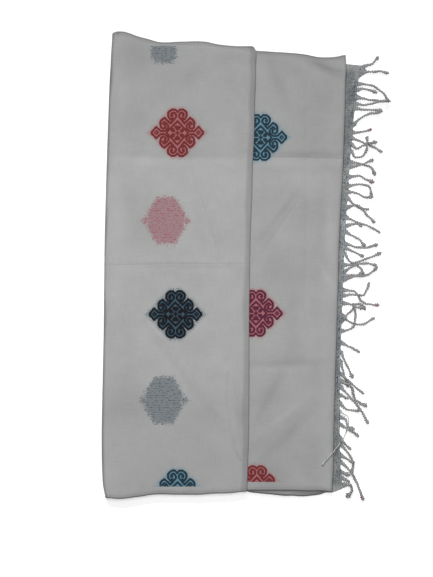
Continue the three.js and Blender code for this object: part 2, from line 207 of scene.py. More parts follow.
# Soft patches of painted shade and light, where the cloth is drawn darker or lighter than its own
# shade: the panel (3 is the end border), the centre, half the size along and beside a direction in
# degrees, and the change in tone.
PAINTED_SHADING = Table("""
  panel    x    y long wide turn  tone
      1 -172  412   44   40  -20 -0.08
      1 -196  312   34   44    0 -0.05
      1 -200  340   16  120    0  0.05
      1  -62  400   60   26   -8 -0.04
      1   20  424   50   12   -4 -0.07
      1   34  275   14   60    0 -0.05
      1  -60  330   12   40    0 -0.03
      1 -212  140   18   95    0  0.07
      1 -212  -50   16  110    0  0.05
      1  -30  194   80   14    0  0.05
      1 -160  195   50   16    0  0.03
      1 -162   96   30   40    0 -0.09
      1  -20   30   70   60    0 -0.02
      1 -198 -266   46   52    0 -0.11
      1 -160 -268   16   44    0 -0.07
      1  -10 -262   46   60    0 -0.03
      1  -50 -296   60   50   20 -0.08
      1  -40 -375  130   62    0 -0.08
      1 -150 -425   60   30    0 -0.05
      1   34 -290   10   60    8 -0.10
      1  -30 -250   70   12  -50  0.03
      2  108  382   12   60   22 -0.10
      2  150  396   40   16  -24 -0.06
      2  203  404   44    9  -25 -0.26
      2  196  300   44   70    0 -0.07
      2   92  292   30   40    0 -0.04
      2  160  229  100    8    0 -0.12
      2  215   80  140   10   90  0.08
      2  150  185   90   26    0  0.06
      2  114  112   62    6   52 -0.10
      2  170  110   40   34   40 -0.05
      2  196   96   10   60    0 -0.05
      2  118   -8   50   40    0 -0.03
      2  206  -10   26    6  -60  0.08
      2  140  -80   16   80    0 -0.05
      2  112 -187   78    7    3 -0.12
      2   92 -254   60   10   62 -0.12
      2  103 -304   58    7   37  0.09
      2  132 -325   70   12   44 -0.14
      2  180 -362   30   50   20 -0.06
      2   96 -400   40   36    0 -0.08
      2  206 -230   13  210    0  0.05
      2  210 -418   26   44    0  0.08
      2  150 -420   20   16    0  0.06
      3  268  385   30   14    0  0.10
      3  268  350   30   40    0 -0.12
      3  258  270   30   50    0 -0.05
      3  245   80   30  130    0  0.20
      3  250 -360   30   90    0 -0.08
""")

# Where each panel's brocaded motifs lie: the x of their column and the place across the loom (v)
# at each y, first for the panel itself and then for the layer that shows through it.
TOP_COLUMN = Table("""
       y     x   v
    -490 -89.3 -43
  -445.1 -89.3   2
   -88.2 -93.5 366
   272.6 -89.1 730
     490 -89.1 948
""")
TOP_BENEATH = Table("""
       y      x   v
    -490 -117.1 -48
  -258.9 -117.1 184
      98 -112.1 548
   457.8 -116.1 912
     490 -116.1 945
""")
MIDDLE_COLUMN = Table("""
       y    x   v
    -490 68.3 -53
  -436.7 68.3   2
   -86.4 66.3 366
   264.1 75.8 730
     490 75.8 964
""")
MIDDLE_BENEATH = Table("""
     y   x   v
  -490 6.0 -38
  -271 6.0 184
    90 6.0 548
   452 6.0 912
   490 6.0 950
""")

# Fringe strands: the root on the hem, three places along the strand measured from its root,
# whether it ends in a knot, its width, and how far its tip is tinted red or bleached pale.
STRANDS = Table("""
  root x1  y1 x2  y2  x3   y3 knot width red pale
   406 10   3 20   7  32   21    0   3.4   1    0
   396 19   0 34   1  53   -3    0   3.6   1    0
   372 27  -3 50 -18  62  -35    0   3.4   0    0
   360 14   2 26  -1  41   -6    1   3.4   0    0
   345 22  -4 45  -7  68   -8    0   3.6   1    0
   332 20  -2 42   3  63    6    0   3.4   0    0
   323 20  -3 40  -3  55   -7    1   3.4   0    0
   290 10  10 29  21  54   25    0   3.4   0    0
   275 12   0 27   3  39    6    0   3.4   1    0
   264 24 -10 44 -19  61  -29    0   3.6   0    0
   251  9  -8 29   0  52    5    1   3.4   0    0
   239  9 -14 26  -8  32   28    0   3.4   0    0
   216 19  -4 43 -13  49  -28    1   3.6   0    0
   206 18   3 32   8  47   15    0   3.4   0    0
   186 20   2 35  -6  50  -11    1   3.6   1    0
   168 17   3 40  -1  46  -20    0   3.4   0    0
   156 16  -2 32 -10  50  -10    0   3.4   0    0
   144 10 -11 24 -20  43  -23    0   3.4   0    0
   125 18   4 40 -16  56  -31    0   3.6   0    0
   105 22 -10 45 -18  68  -31    0   3.4   0    0
    88 10   3 20   4  32   -2    0   3.4   0    0
    77 12  -8 27 -16  39  -31    0   3.4   0    0
    53 22  -7 45  -8  66   -1    1   3.6   1    0
    44 14  -6 27 -12  38  -18    0   3.4   0    0
    34 13 -19 42 -12  74    1    1   3.4   0    0
    10 20   0 33  -7  39  -24    0   3.4   0    0
    -4 20  13 46  17  66   13    0   3.4   0    0
   -12 13   1 27   2  38    7    0   3.4   0    0
   -20 20   7 49  11  67   27    0   3.6   0    0
   -40 24  -4 38 -24  72  -31    0   3.4   1    0
   -51 22   2 40   1  53   27    0   3.4   0    0
   -66 20  -3 37  -3  45  -15    1   3.6   0    0
   -91 13 -12 38 -18  65   -4    0   3.4   0    0
  -102 13  16 28  27  43   27    0   3.4   0    0
  -122 20   6 27  30  22   57    0   3.4   0    0
  -145 11  -6 24 -12  37  -20    0   3.6   0    0
  -164  7 -17 17 -37  23  -53    1   3.4   0    0
  -183  7 -28 11 -40  15  -52    0   3.4   0    0
  -207 20 -18 36 -32  48  -41    0   3.4   0    0
  -221 21 -12 30 -38  54  -52    0   4.2   0    0
  -233 24 -26 43 -50  56  -75    0   3.6   1    0
  -250  6  -2 11  -5  17   -7    0   3.4   0    0
  -266  8  -9 20 -14  43  -14    0   3.4   1    0
  -283 16 -12  8 -50 -38 -106    0   3.4   0    1
  -294 11  -4 14 -17  29  -26    1   3.4   0    0
  -308 15 -10 27 -17  38  -25    0   3.4   1    0
  -335  9 -13 16 -19  22  -24    0   3.4   0    0
  -348 13 -15 25 -36  22  -61    0   3.6   1    0
  -370 10  -6 19 -11  28  -15    1   3.4   0    0
  -383 17 -17 32 -43  45  -78    0   3.6   1    0
  -404  6  -2 12  -4  17   -5    1   3.4   0    0
  -415  6  -4 11  -7  16   -9    0   3.4   0    0
  -430 13   2 18 -10   7  -25    1   4.2   0    0
""")

# One quarter of the brocaded motif, charted on the weaver's square in millimetres from its
# centre: the first number runs along the cloth, the second across the loom.
MOTIF_STROKES = (
    ((0, 23.8), (22, 0)),
    ((3.4, 36.5), (3.4, 31.5), (14, 18.6), (25.6, 30), (30.6, 26), (34, 21), (34, 14)),
    ((32.8, 11.2), (29.2, 8)),
    ((0, 41.5), (4, 46), (11.4, 46.6), (18.4, 40), (18.2, 32), (13.8, 26), (10.2, 29.2)),
    ((3.4, 36.5), (6.2, 40), (10, 40), (12.3, 37.2), (12.3, 33.6), (9.9, 34.4)),
    (
        (29.2, 17.8), (26.8, 21), (24.4, 21.2), (18.4, 14.2), (18.4, 9.8),
        (24.9, 3.5), (34.2, 3.5), (42, 12), (51, 2), (51, 0),
    ),
    ((25.3, 15.8), (23.8, 11.6), (26, 9.2)),
)

left_edge = FOLD_LINES.curve("y", "left")
top_fold = FOLD_LINES.curve("y", "top")
middle_fold = FOLD_LINES.curve("y", "middle")
hem_line = FOLD_LINES.curve("y", "hem")


def lerp(start: np.ndarray, end: np.ndarray, share: np.ndarray) -> np.ndarray:
    """The value a share of the way from start to end."""
    return start + (end - start) * share


def smooth_step(start: float, end: float, value: np.ndarray) -> np.ndarray:
    """0 before start, 1 after end, and an S-shaped rise between: 3t^2 - 2t^3."""
    t = np.clip((value - start) / (end - start), 0, 1)
    return t * t * (3 - 2 * t)


def crease_height(layer: Layer, x: np.ndarray, y: np.ndarray) -> np.ndarray:
    """Height that a panel's creases add: lift times e^-(distance / width)^2, summed.

    Args:
        layer: The panel.
        x: Places along the cloth.
        y: Places across the loom.

    Returns:
        The added height at each place.
    """
    height = np.zeros_like(x)
    for crease in CREASES.rows():
        if crease["panel"] == layer.value:
            run, rise = crease["x2"] - crease["x1"], crease["y2"] - crease["y1"]
            past_x, past_y = x - crease["x1"], y - crease["y1"]
            share = np.clip((past_x * run + past_y * rise) / (run**2 + rise**2), 0, 1)
            distance = np.hypot(past_x - share * run, past_y - share * rise)
            height += crease["lift"] * np.exp(-((distance / crease["width"]) ** 2))
    return height


def painted_shading_tone(layer: Layer, x: np.ndarray, y: np.ndarray) -> np.ndarray:
    """The change in tone from the patches: each one's times e^-(u^2 + v^2), summed, where u and v
    are the distances along and beside its direction, in its half sizes.

    Args:
        layer: The cloth.
        x: Places along the cloth.
        y: Places across the loom.

    Returns:
        The change at each place, as a share of the tone.
    """
    tone = np.zeros_like(x)
    for patch in PAINTED_SHADING.rows():
        if patch["panel"] == layer.value:
            turn = np.radians(patch["turn"])
            past_x, past_y = x - patch["x"], y - patch["y"]
            along = (past_x * np.cos(turn) + past_y * np.sin(turn)) / patch["long"]
            beside = (past_y * np.cos(turn) - past_x * np.sin(turn)) / patch["wide"]
            tone += patch["tone"] * np.exp(-(along**2) - beside**2)
    return tone


def ripples(x: np.ndarray, y: np.ndarray, length: float, seed: int) -> np.ndarray:
    """Soft uneven waves: the mean of six sines of about one wavelength in seeded directions.

    Args:
        x: Places along the cloth.
        y: Places across the loom.
        length: The mean wavelength.
        seed: The seed of the directions and phases.

    Returns:
        Values from about -1 to 1.
    """
    draw = np.random.default_rng(seed)
    total = np.zeros(np.broadcast(x, y).shape)
    for _ in range(6):
        angle, phase = draw.uniform(0, 2 * np.pi, 2)
        pace = 2 * np.pi / (length * draw.uniform(0.6, 1.7))
        total += np.sin(pace * (x * np.cos(angle) + y * np.sin(angle)) + phase)
    return total / 3


@dataclass(frozen=True)
class Fold:
    """A fold: heights of its lower and upper layers, its bulge, its return underneath, and the
    rough width of its panel."""

    low: float
    high: float
    turn: float
    under: float
    panel_width: float

    def return_steps(self) -> np.ndarray:
        """Distances of the return underneath from the fold line, from the turn to its end."""
        return self.turn + np.linspace(3, self.under, 4)


@dataclass
class Section:
    """Places along a panel's section, as arrays.

    Each holds how far across the panel it is, how far it lies from that line, its height, how
    much of the creases it takes, where across the panel its selvedges are read, and how much of
    the selvedges' spill it takes.
    """

    across: np.ndarray
    shift: np.ndarray
    height: np.ndarray
    crease: np.ndarray
    selvedge: np.ndarray
    spill: np.ndarray

    @classmethod
    def beside(cls, fold: Fold, across: float, shift: np.ndarray, height: np.ndarray) -> "Section":
        """Places round a fold line or under it, which take the selvedges of the panel above them.

        The spill grows in proportion with the distance under the fold.

        Args:
            fold: The fold.
            across: Which line it follows.
            shift: Distances from that line.
            height: Heights.

        Returns:
            The places.
        """
        height = np.broadcast_to(height, shift.shape)
        is_under = height < (fold.low + fold.high) / 2
        spill = is_under * np.abs(shift) / (fold.turn + fold.under)
        still = np.zeros_like(shift)
        return cls(still + across, shift, height, still, across + shift / fold.panel_width, spill)

    @classmethod
    def turned(cls, fold: Fold, across: float, side: int, steps: int) -> "Section":
        """Places round a fold, from its lower layer to its upper one: half an ellipse.

        Args:
            fold: The fold.
            across: Which line it follows.
            side: 1 where it bulges to +X, -1 where it bulges to -X.
            steps: Steps round it.

        Returns:
            The places.
        """
        angle = np.linspace(-np.pi / 2, np.pi / 2, steps + 1)
        middle = (fold.low + fold.high) / 2
        shift = side * fold.turn * (np.cos(angle) - 1)
        return cls.beside(fold, across, shift, middle + (fold.high - middle) * np.sin(angle))

    @classmethod
    def facing_up(
        cls, across: np.ndarray, shift: np.ndarray, height: np.ndarray, crease: np.ndarray
    ) -> "Section":
        """Places on a panel's upper face."""
        return cls(across, shift, height, crease, across, np.zeros_like(across))

    @classmethod
    def joined(cls, parts: Sequence["Section"]) -> "Section":
        """Several runs of places in a row."""
        return cls(*(np.concatenate(values) for values in zip(*(vars(p).values() for p in parts))))

    def reversed(self) -> "Section":
        """The same places the other way round."""
        return Section(*(values[::-1] for values in vars(self).values()))


def unit(vectors: np.ndarray) -> np.ndarray:
    """Each row of an array at length one."""
    return vectors / np.linalg.norm(vectors, axis=1, keepdims=True)


def edge_drop(fall: float, share: np.ndarray, reach: float) -> np.ndarray:
    """How much lower a panel lies near its fold: fall times (1 - share / reach)^2."""
    return fall * np.clip(1 - share / reach, 0, 1) ** 2


def arc_length(points: np.ndarray) -> np.ndarray:
    """Distance along each row of a grid of points, from its first column."""
    steps = np.linalg.norm(np.diff(points, axis=1), axis=2)
    return np.concatenate([np.zeros((len(points), 1)), np.cumsum(steps, axis=1)], axis=1)


def add_object(name: str, data: bpy.types.ID) -> bpy.types.Object:
    """A new object in the scene, made of this data."""
    item = bpy.data.objects.new(name, data)
    bpy.context.scene.collection.objects.link(item)
    return item


def piece_from(name: str, points: np.ndarray, faces: Sequence[Sequence[int]]) -> bpy.types.Object:
    """A new smooth-shaded piece at the origin.

    Args:
        name: The piece's name.
        points: Its vertices in millimetres, three numbers each.
        faces: Its faces' vertex numbers.

    Returns:
        The piece.
    """
    mesh = bpy.data.meshes.new(name)
    mesh.from_pydata((points * MM).tolist(), [], faces)
    mesh.polygons.foreach_set("use_smooth", np.ones(len(mesh.polygons), dtype=bool))
    mesh.update()
    return add_object(name, mesh)


def grid_faces(rows: int, columns: int, closed: bool = False) -> np.ndarray:
    """Quads between neighbouring rows and columns of a grid, whose last column may meet its first.

    Args:
        rows: Rows of points.
        columns: Columns of points.
        closed: Whether the columns run round a tube.

    Returns:
        An array of four vertex numbers a face.
    """
    row = np.arange(rows - 1)[:, None] * columns
    column = np.arange(columns if closed else columns - 1)[None, :]
    beside = (column + 1) % columns
    corners = (row + column, row + beside, row + beside + columns, row + column + columns)
    return np.stack(corners, axis=-1).reshape(-1, 4)


def lay_map(piece: bpy.types.Object, name: str, values: np.ndarray) -> None:
    """Gives a piece a UV map in metres of cloth.

    Args:
        piece: The piece.
        name: The map's name.
        values: Two numbers a vertex, in millimetres.
    """
    loops = np.empty(len(piece.data.loops), dtype=np.int32)
    piece.data.loops.foreach_get("vertex_index", loops)
    layer = piece.data.uv_layers.new(name=name)
    layer.data.foreach_set("uv", (values.reshape(-1, 2)[loops] * MM).astype(np.float32).ravel())


def lay_attribute(piece: bpy.types.Object, name: str, values: np.ndarray) -> None:
    """Gives a piece a number at each vertex."""
    attribute = piece.data.attributes.new(name, "FLOAT", "POINT")
    attribute.data.foreach_set("value", values.astype(np.float32).ravel())


def cloth_piece(name: str, points: np.ndarray, cloth: np.ndarray, thickness: float) -> bpy.types.Object:
    """A sheet of cloth from a grid of points on its outer face, given its thickness inwards.

    Args:
        name: The piece's name.
        points: Rows and columns of points in millimetres, facing out.
        cloth: Places on the flat cloth, along it and across the loom, in millimetres.
        thickness: The cloth's thickness in millimetres.

    Returns:
        The piece.
    """
    rows, columns = points.shape[:2]
    piece = piece_from(name, points.reshape(-1, 3), grid_faces(rows, columns).tolist())
    lay_map(piece, "cloth", cloth)
    wall = piece.modifiers.new("thickness", "SOLIDIFY")
    wall.thickness = thickness * MM
    wall.offset = -1
    return piece


class Signal:
    """A value in a material, on which sums and comparisons add Math nodes."""

    def __init__(self, board: "Board", socket: bpy.types.NodeSocket) -> None:
        """Wraps an output socket of a board."""
        self.board = board
        self.socket = socket

    def _math(self, operation: str, *values: "Signal | float", clamp: bool = False) -> "Signal":
        """A Math node on these values."""
        settings = {"operation": operation, "use_clamp": clamp}
        return self.board.node("ShaderNodeMath", settings, dict(enumerate(values)))

    def __add__(self, other: "Signal | float") -> "Signal":
        """Sum."""
        return self._math("ADD", self, other)

    __radd__ = __add__

    def __sub__(self, other: "Signal | float") -> "Signal":
        """Difference."""
        return self._math("SUBTRACT", self, other)

    def __rsub__(self, other: float) -> "Signal":
        """Difference from a number."""
        return self._math("SUBTRACT", other, self)

    def __mul__(self, other: "Signal | float") -> "Signal":
        """Product."""
        return self._math("MULTIPLY", self, other)

    __rmul__ = __mul__

    def __truediv__(self, other: "Signal | float") -> "Signal":
        """Quotient."""
        return self._math("DIVIDE", self, other)

    def __abs__(self) -> "Signal":
        """Size without sign."""
        return self._math("ABSOLUTE", self)

    def below(self, other: "Signal | float") -> "Signal":
        """1 where it is less, otherwise 0."""
        return self._math("LESS_THAN", self, other)

    def least(self, other: "Signal | float") -> "Signal":
        """The smaller of two values."""
        return self._math("MINIMUM", self, other)

    def most(self, other: "Signal | float") -> "Signal":
        """The larger of two values."""
        return self._math("MAXIMUM", self, other)

    def apply(self, operation: str, *others: "Signal | float") -> "Signal":
        """Any other Math operation."""
        return self._math(operation, self, *others)

    def clamped(self) -> "Signal":
        """Held between 0 and 1."""
        return self._math("ADD", self, 0.0, clamp=True)

    def fade(self, start: float, end: float) -> "Signal":
        """1 up to start, falling to 0 at end in a straight line."""
        return self._math("MULTIPLY_ADD", self, -1 / (end - start), end / (end - start), clamp=True)


def linear(colour: Colour) -> tuple[float, float, float, float]:
    """A colour of 0 to 255 on a screen as linear light: ((c + 0.055) / 1.055)^2.4, or c / 12.92."""
    share = np.array(colour) / 255
    value = np.where(share <= 0.04045, share / 12.92, ((share + 0.055) / 1.055) ** 2.4)
    return (*value.tolist(), 1.0)


class Board:
    """The nodes of one material."""

    def __init__(self, name: str) -> None:
        """Makes the material with a shader of its own.

        Args:
            name: The material's name.
        """
        self.material = bpy.data.materials.new(name)
        self.material.use_nodes = True
        self.tree = self.material.node_tree
        self.shader = next(n for n in self.tree.nodes if n.type == "BSDF_PRINCIPLED")

    def node(self, kind: str, settings: dict, inputs: dict, output: str | int = 0) -> Signal:
        """Adds a node, sets it up, and fills or links its sockets.

        Args:
            kind: The node's type.
            settings: Its properties; stops are a ramp's places and colours.
            inputs: Its sockets' values or signals, by name or number.
            output: The socket that is wanted.

        Returns:
            That socket's signal.
        """
        node = self.tree.nodes.new(kind)
        for name, value in settings.items():
            if name == "stops":
                self._fill_ramp(node.color_ramp, value)
            else:
                setattr(node, name, value)
        for name, value in inputs.items():
            if isinstance(value, Signal):
                self.tree.links.new(value.socket, node.inputs[name])
            else:
                node.inputs[name].default_value = value
        return Signal(self, node.outputs[output])

    @staticmethod
    def _fill_ramp(ramp: bpy.types.ColorRamp, stops: Sequence[tuple[float, tuple]]) -> None:
        """Gives a ramp constant steps at these places.

        Args:
            ramp: The ramp.
            stops: Places and colours, rising.
        """
        ramp.interpolation = "CONSTANT"
        while len(ramp.elements) < len(stops):
            ramp.elements.new(1.0)
        for element, (place, colour) in zip(ramp.elements, stops):
            element.position = place
            element.color = colour

    def place(self) -> Signal:
        """The place on the object in metres."""
        return self.node("ShaderNodeTexCoord", {}, {}, "Object")

    def uv(self, name: str) -> Signal:
        """A UV map's value."""
        return self.node("ShaderNodeUVMap", {"uv_map": name}, {})

    def attribute(self, name: str) -> Signal:
        """A vertex attribute's number."""
        return self.node("ShaderNodeAttribute", {"attribute_name": name}, {}, "Fac")

    def split(self, vector: Signal) -> tuple[Signal, Signal, Signal]:
        """A vector's three numbers."""
        parts = self.node("ShaderNodeSeparateXYZ", {}, {0: vector})
        return tuple(Signal(self, socket) for socket in parts.socket.node.outputs)

    def vector(self, x: Signal | float, y: Signal | float, z: Signal | float = 0.0) -> Signal:
        """A vector from three numbers."""
        return self.node("ShaderNodeCombineXYZ", {}, {0: x, 1: y, 2: z})

    def turn(
        self, operation: str, *values: Signal | tuple, scale: Signal | float | None = None
    ) -> Signal:
        """A Vector Math node; a distance or a dot product gives a number.

        Args:
            operation: The node's operation.
            values: Its vectors.
            scale: The factor that a scaling takes.

        Returns:
            The result.
        """
        inputs = dict(enumerate(values))
        if scale is not None:
            inputs["Scale"] = scale
        output = "Value" if operation in ("DISTANCE", "DOT_PRODUCT") else "Vector"
        return self.node("ShaderNodeVectorMath", {"operation": operation}, inputs, output)

    def blend(self, start: Signal | tuple, end: Signal | tuple, share: Signal | float) -> Signal:
        """A colour a share of the way from start to end."""
        settings = {"data_type": "RGBA", "clamp_factor": True}
        return self.node("ShaderNodeMix", settings, {0: share, 6: start, 7: end}, 2)

    def shade(self, colour: Signal, factor: Signal) -> Signal:
        """A colour made darker or lighter by a factor."""
        grey = self.vector(factor, factor, factor)
        return self.turn("MULTIPLY", colour, grey)

    def cloud(self, at: Signal, scale: float, detail: float = 2.0, roughness: float = 0.5) -> Signal:
        """Soft noise from 0 to 1, of so many patches a unit."""
        values = {"Vector": at, "Scale": scale, "Detail": detail, "Roughness": roughness}
        return self.node("ShaderNodeTexNoise", {"noise_dimensions": "3D"}, values)

    def grain(self, cloth: Signal, along: float, over: float, detail: float = 1.0) -> Signal:
        """Soft noise of so many patches a metre along the cloth and over its width."""
        return self.cloud(self.turn("MULTIPLY", cloth, (along, over, 1)), 1.0, detail)

    def plain_weave(self, cloth: Signal, thread: float) -> Signal:
        """A plain weave from -1 to 1: the product of two sines, one along each set of threads."""
        along, over, _ = self.split(cloth)
        pace = np.pi / (thread * MM)
        return (along * pace).apply("SINE") * (over * pace).apply("SINE")

    def bump(self, height: Signal, strength: float) -> Signal:
        """A normal from a height in metres."""
        values = {"Strength": strength, "Distance": 1.0, "Height": height}
        return self.node("ShaderNodeBump", {}, values)

    def after(self, at: Signal, earlier: Signal) -> Signal:
        """The same place, but worked out once an earlier value is there.

        It adds a millionth of that value. Long runs of stretches are chained this way, because the
        renderer has room for few unfinished values at a time.
        """
        return self.turn("MULTIPLY_ADD", earlier, (1e-6, 1e-6, 0), at)

    def distance_to_line(
        self, at: Signal, line: Sequence[tuple[float, float]], nearest: Signal | None = None
    ) -> Signal:
        """Distance from a place to the nearest stretch of a line of points.

        Each stretch's distance is that from the place to the nearest point on it, found by the
        share of the stretch that the place's offset covers.

        Args:
            at: The place.
            line: Points in the same unit.
            nearest: The distance to other lines, if they count too.

        Returns:
            The distance.
        """
        for (x1, y1), (x2, y2) in zip(line, line[1:]):
            run, rise = x2 - x1, y2 - y1
            span = run**2 + rise**2
            here = at if nearest is None else self.after(at, nearest)
            offset = self.turn("SUBTRACT", here, (x1, y1, 0))
            share = self.turn("DOT_PRODUCT", offset, (run / span, rise / span, 0)).clamped()
            foot = self.turn("SCALE", (run, rise, 0), scale=share)
            distance = self.turn("DISTANCE", offset, foot)
            nearest = distance if nearest is None else nearest.least(distance)
        return nearest

    def finish(self, colour: Signal, roughness: Signal, normal: Signal, sheen: float) -> bpy.types.Material:
        """Links the varying finish and sets the rest on the shader's own sockets.

        Args:
            colour: Base colour.
            roughness: Roughness.
            normal: Normal.
            sheen: How much light the fibres' fuzz gives back.

        Returns:
            The material.
        """
        for name, signal in (("Base Color", colour), ("Roughness", roughness), ("Normal", normal)):
            self.tree.links.new(signal.socket, self.shader.inputs[name])
        self.shader.inputs["Sheen Weight"].default_value = sheen
        self.shader.inputs["Sheen Roughness"].default_value = 0.6
        self.shader.inputs["Specular IOR Level"].default_value = 0.25
        return self.material


@dataclass(frozen=True)
class DyedYarn:
    """The two shades of one brocaded motif, and two that show through a layer of cloth: the
    motif's own and that of its floating stitches."""

    line: Colour
    ground: Colour
    ghost: Colour
    stitch: Colour


@dataclass(frozen=True)
class Brocade:
    """The motifs' places on the cloth and their yarns.

    Columns of motifs follow each other along the cloth, every other one dropped by half a row.
    The diamond at each tip is a ring of its own radius and stroke. A petal of the rosette is a
    disc, given by its centre in the motif's quarter and its radius.
    """

    column_origin: float = 1128
    column_step: float = 324
    row_origin: float = 2
    row_step: float = 364
    stroke: float = 2.2
    wobble: float = 3.2
    first_row: float = 16.6
    last_row: float = 899
    thread: float = 0.9
    row_pitch: float = 4.8
    tip_centre: float = 42.0
    tip_radius: float = 3.4
    tip_stroke: float = 2.1
    petals: tuple[tuple[float, float, float], ...] = ((2.8, 10.2, 4.8), (8.6, 5, 4.6), (0, 0, 5))
    vein: tuple[tuple[float, float], ...] = ((2.2, 3.0), (7.2, 10.0))
    vein_width: float = 0.9
    red: DyedYarn = DyedYarn((110, 40, 40), (158, 100, 105), (149, 119, 124), (156, 80, 88))
    navy: DyedYarn = DyedYarn((8, 10, 16), (52, 78, 94), (117, 122, 125), (74, 92, 106))
    teal: DyedYarn = DyedYarn((30, 48, 60), (92, 134, 152), (122, 131, 136), (80, 112, 128))
    plum: DyedYarn = DyedYarn((84, 32, 54), (162, 98, 106), (154, 122, 128), (140, 90, 110))

    def yarns(self) -> tuple[DyedYarn, ...]:
        """The yarns by column and row: three rows of each of four columns in turn.

        Returns:
            Twelve yarns.
        """
        return (
            self.red, self.plum, self.teal,
            self.navy, self.red, self.navy,
            self.teal, self.navy, self.red,
            self.plum, self.teal, self.plum,
        )

    def nearest_motif(self, board: Board, cloth: Signal) -> tuple[Signal, Signal]:
        """Finds the motif nearest to a place on the cloth.

        Args:
            board: The material.
            cloth: The place in metres.

        Returns:
            The place in millimetres from the motif's centre, folded into one quarter, and the
            motif's number among the yarns as a share of their count.
        """
        along, over, _ = board.split(board.turn("SCALE", cloth, scale=1000.0))
        column = ((along - self.column_origin) / self.column_step).apply("ROUND")
        drop = column.apply("PINGPONG", 1.0) * (self.row_step / 2)
        past = over - self.row_origin - drop
        row = (past / self.row_step).apply("ROUND")
        x = abs(along - self.column_origin - column * self.column_step)
        y = abs(past - row * self.row_step)
        number = (column + 400.0).apply("MODULO", 4.0) * 3.0 + row.most(0.0).least(2.0)
        return board.vector(x, y), (number + 0.5) / len(self.yarns())

    def within_rows(self, board: Board, cloth: Signal) -> Signal:
        """1 between the first and the last brocaded row, which keep clear of the selvedges."""
        _, over, _ = board.split(cloth)
        centre = (self.first_row + self.last_row) / 2 * MM
        return abs(over - centre).below((self.last_row - self.first_row) / 2 * MM)

    def outline(self, board: Board, at: Signal) -> Signal:
        """Distance outside the motif's outline, below zero inside it.

        Args:
            board: The material.
            at: The place from the motif's centre, in one quarter.

        Returns:
            The distance in millimetres.
        """
        x, y, _ = board.split(at)
        middle = (x / 46.0 + y / 44.0 - 1.0) * 31.0
        tip = (abs(x - 43.0) + y - 11.5) * 0.7
        hook = board.turn("DISTANCE", at, (10.3, 37.0, 0)) - 10.6
        flank = board.turn("DISTANCE", at, (26.5, 20.5, 0)) - 9.6
        return middle.least(tip).least(hook).least(flank)

    def blurred_outline(self, board: Board, at: Signal) -> Signal:
        """Distance outside the six-sided shape that a motif has through another layer."""
        x, y, _ = board.split(at)
        middle = ((x + 0.62 * y - 46.8) * 0.86).most(y - 47.0).most(x - 37.0)
        return middle.least((abs(x - 40.0) + y - 8.5) * 0.7)

    def stray_ends(self, board: Board, cloth: Signal, at: Signal, outside: Signal) -> Signal:
        """Specks of the weft's stray ends, dense beside the motif and rare where they stop.

        Args:
            board: The material.
            cloth: The place on the cloth in metres.
            at: The place in millimetres from the motif's centre.
            outside: Distance outside the motif's outline.

        Returns:
            How much yarn shows there.
        """
        x, y, _ = board.split(at)
        hull = ((x / 60.0 + y / 62.0 - 1.0) * 42.0).most(y - 53.0)
        stray = board.grain(cloth, 380, 420, 0.0)
        specks = ((stray - 0.66 + 0.28 * outside.fade(0.5, 12.0)) * 10.0).clamped()
        return (specks * 0.7).most(outside.fade(0.5, 6.0) * 0.42) * hull.fade(-2.0, 6.0)

    def lines(self, board: Board, at: Signal) -> Signal:
        """1 where the motif's dark yarn shows: its strokes, tip diamonds and rosette.

        Args:
            board: The material.
            at: The place from the motif's centre, in one quarter.

        Returns:
            1 on dark yarn, otherwise 0.
        """
        x, y, _ = board.split(at)
        distance = None
        for stroke in MOTIF_STROKES:
            distance = board.distance_to_line(at, stroke, distance)
        dark = distance.below(self.stroke)
        tip = abs(x - self.tip_centre) + y
        dark = dark.most(abs(tip - self.tip_radius).below(self.tip_stroke))
        discs = [board.turn("DISTANCE", at, (*petal[:2], 0)).below(petal[2]) for petal in self.petals]
        petals = discs[0].most(discs[1]).most(discs[2])
        gap = y.below(self.vein_width) * abs(x - 9.0).below(5.0)
        vein = board.distance_to_line(board.after(at, petals), self.vein).below(self.vein_width)
        return dark.most(petals * (1 - gap.most(vein)))

    def weave_into(self, board: Board, cloth: Signal, colour: Signal) -> tuple[Signal, Signal]:
        """Adds the motifs to a cloth's colour.

        Args:
            board: The material.
            cloth: The place on the cloth in metres.
            colour: The plain cloth's colour.

        Returns:
            The new colour, and how much of a motif lies there.
        """
        sway = board.vector(board.cloud(cloth, 34.0, 1.0), board.cloud(cloth, 29.0, 1.0))
        swayed = board.turn("MULTIPLY_ADD", sway, (self.wobble * MM,) * 3, cloth)
        swayed = board.turn("SUBTRACT", swayed, (self.wobble * MM / 2,) * 3)
        at, number = self.nearest_motif(board, swayed)
        stepped = board.turn("SNAP", at, (self.thread,) * 3)
        stepped = board.turn("ADD", stepped, (self.thread / 2,) * 3)
        shown = self.within_rows(board, cloth)
        lines = self.lines(board, stepped) * shown
        outside = self.outline(board, stepped)
        inside = outside.below(0.0) * shown
        ground = self._ramp(board, number, "ground")
        yarn = board.blend(ground, self._ramp(board, number, "line"), lines)
        fleck = board.grain(cloth, 500, 1100)
        yarn = board.shade(yarn, 0.78 + 0.44 * fleck)
        fuzz = self.stray_ends(board, cloth, at, outside) * shown
        colour = board.blend(colour, ground, fuzz)
        return board.blend(colour, yarn, inside.most(lines)), inside

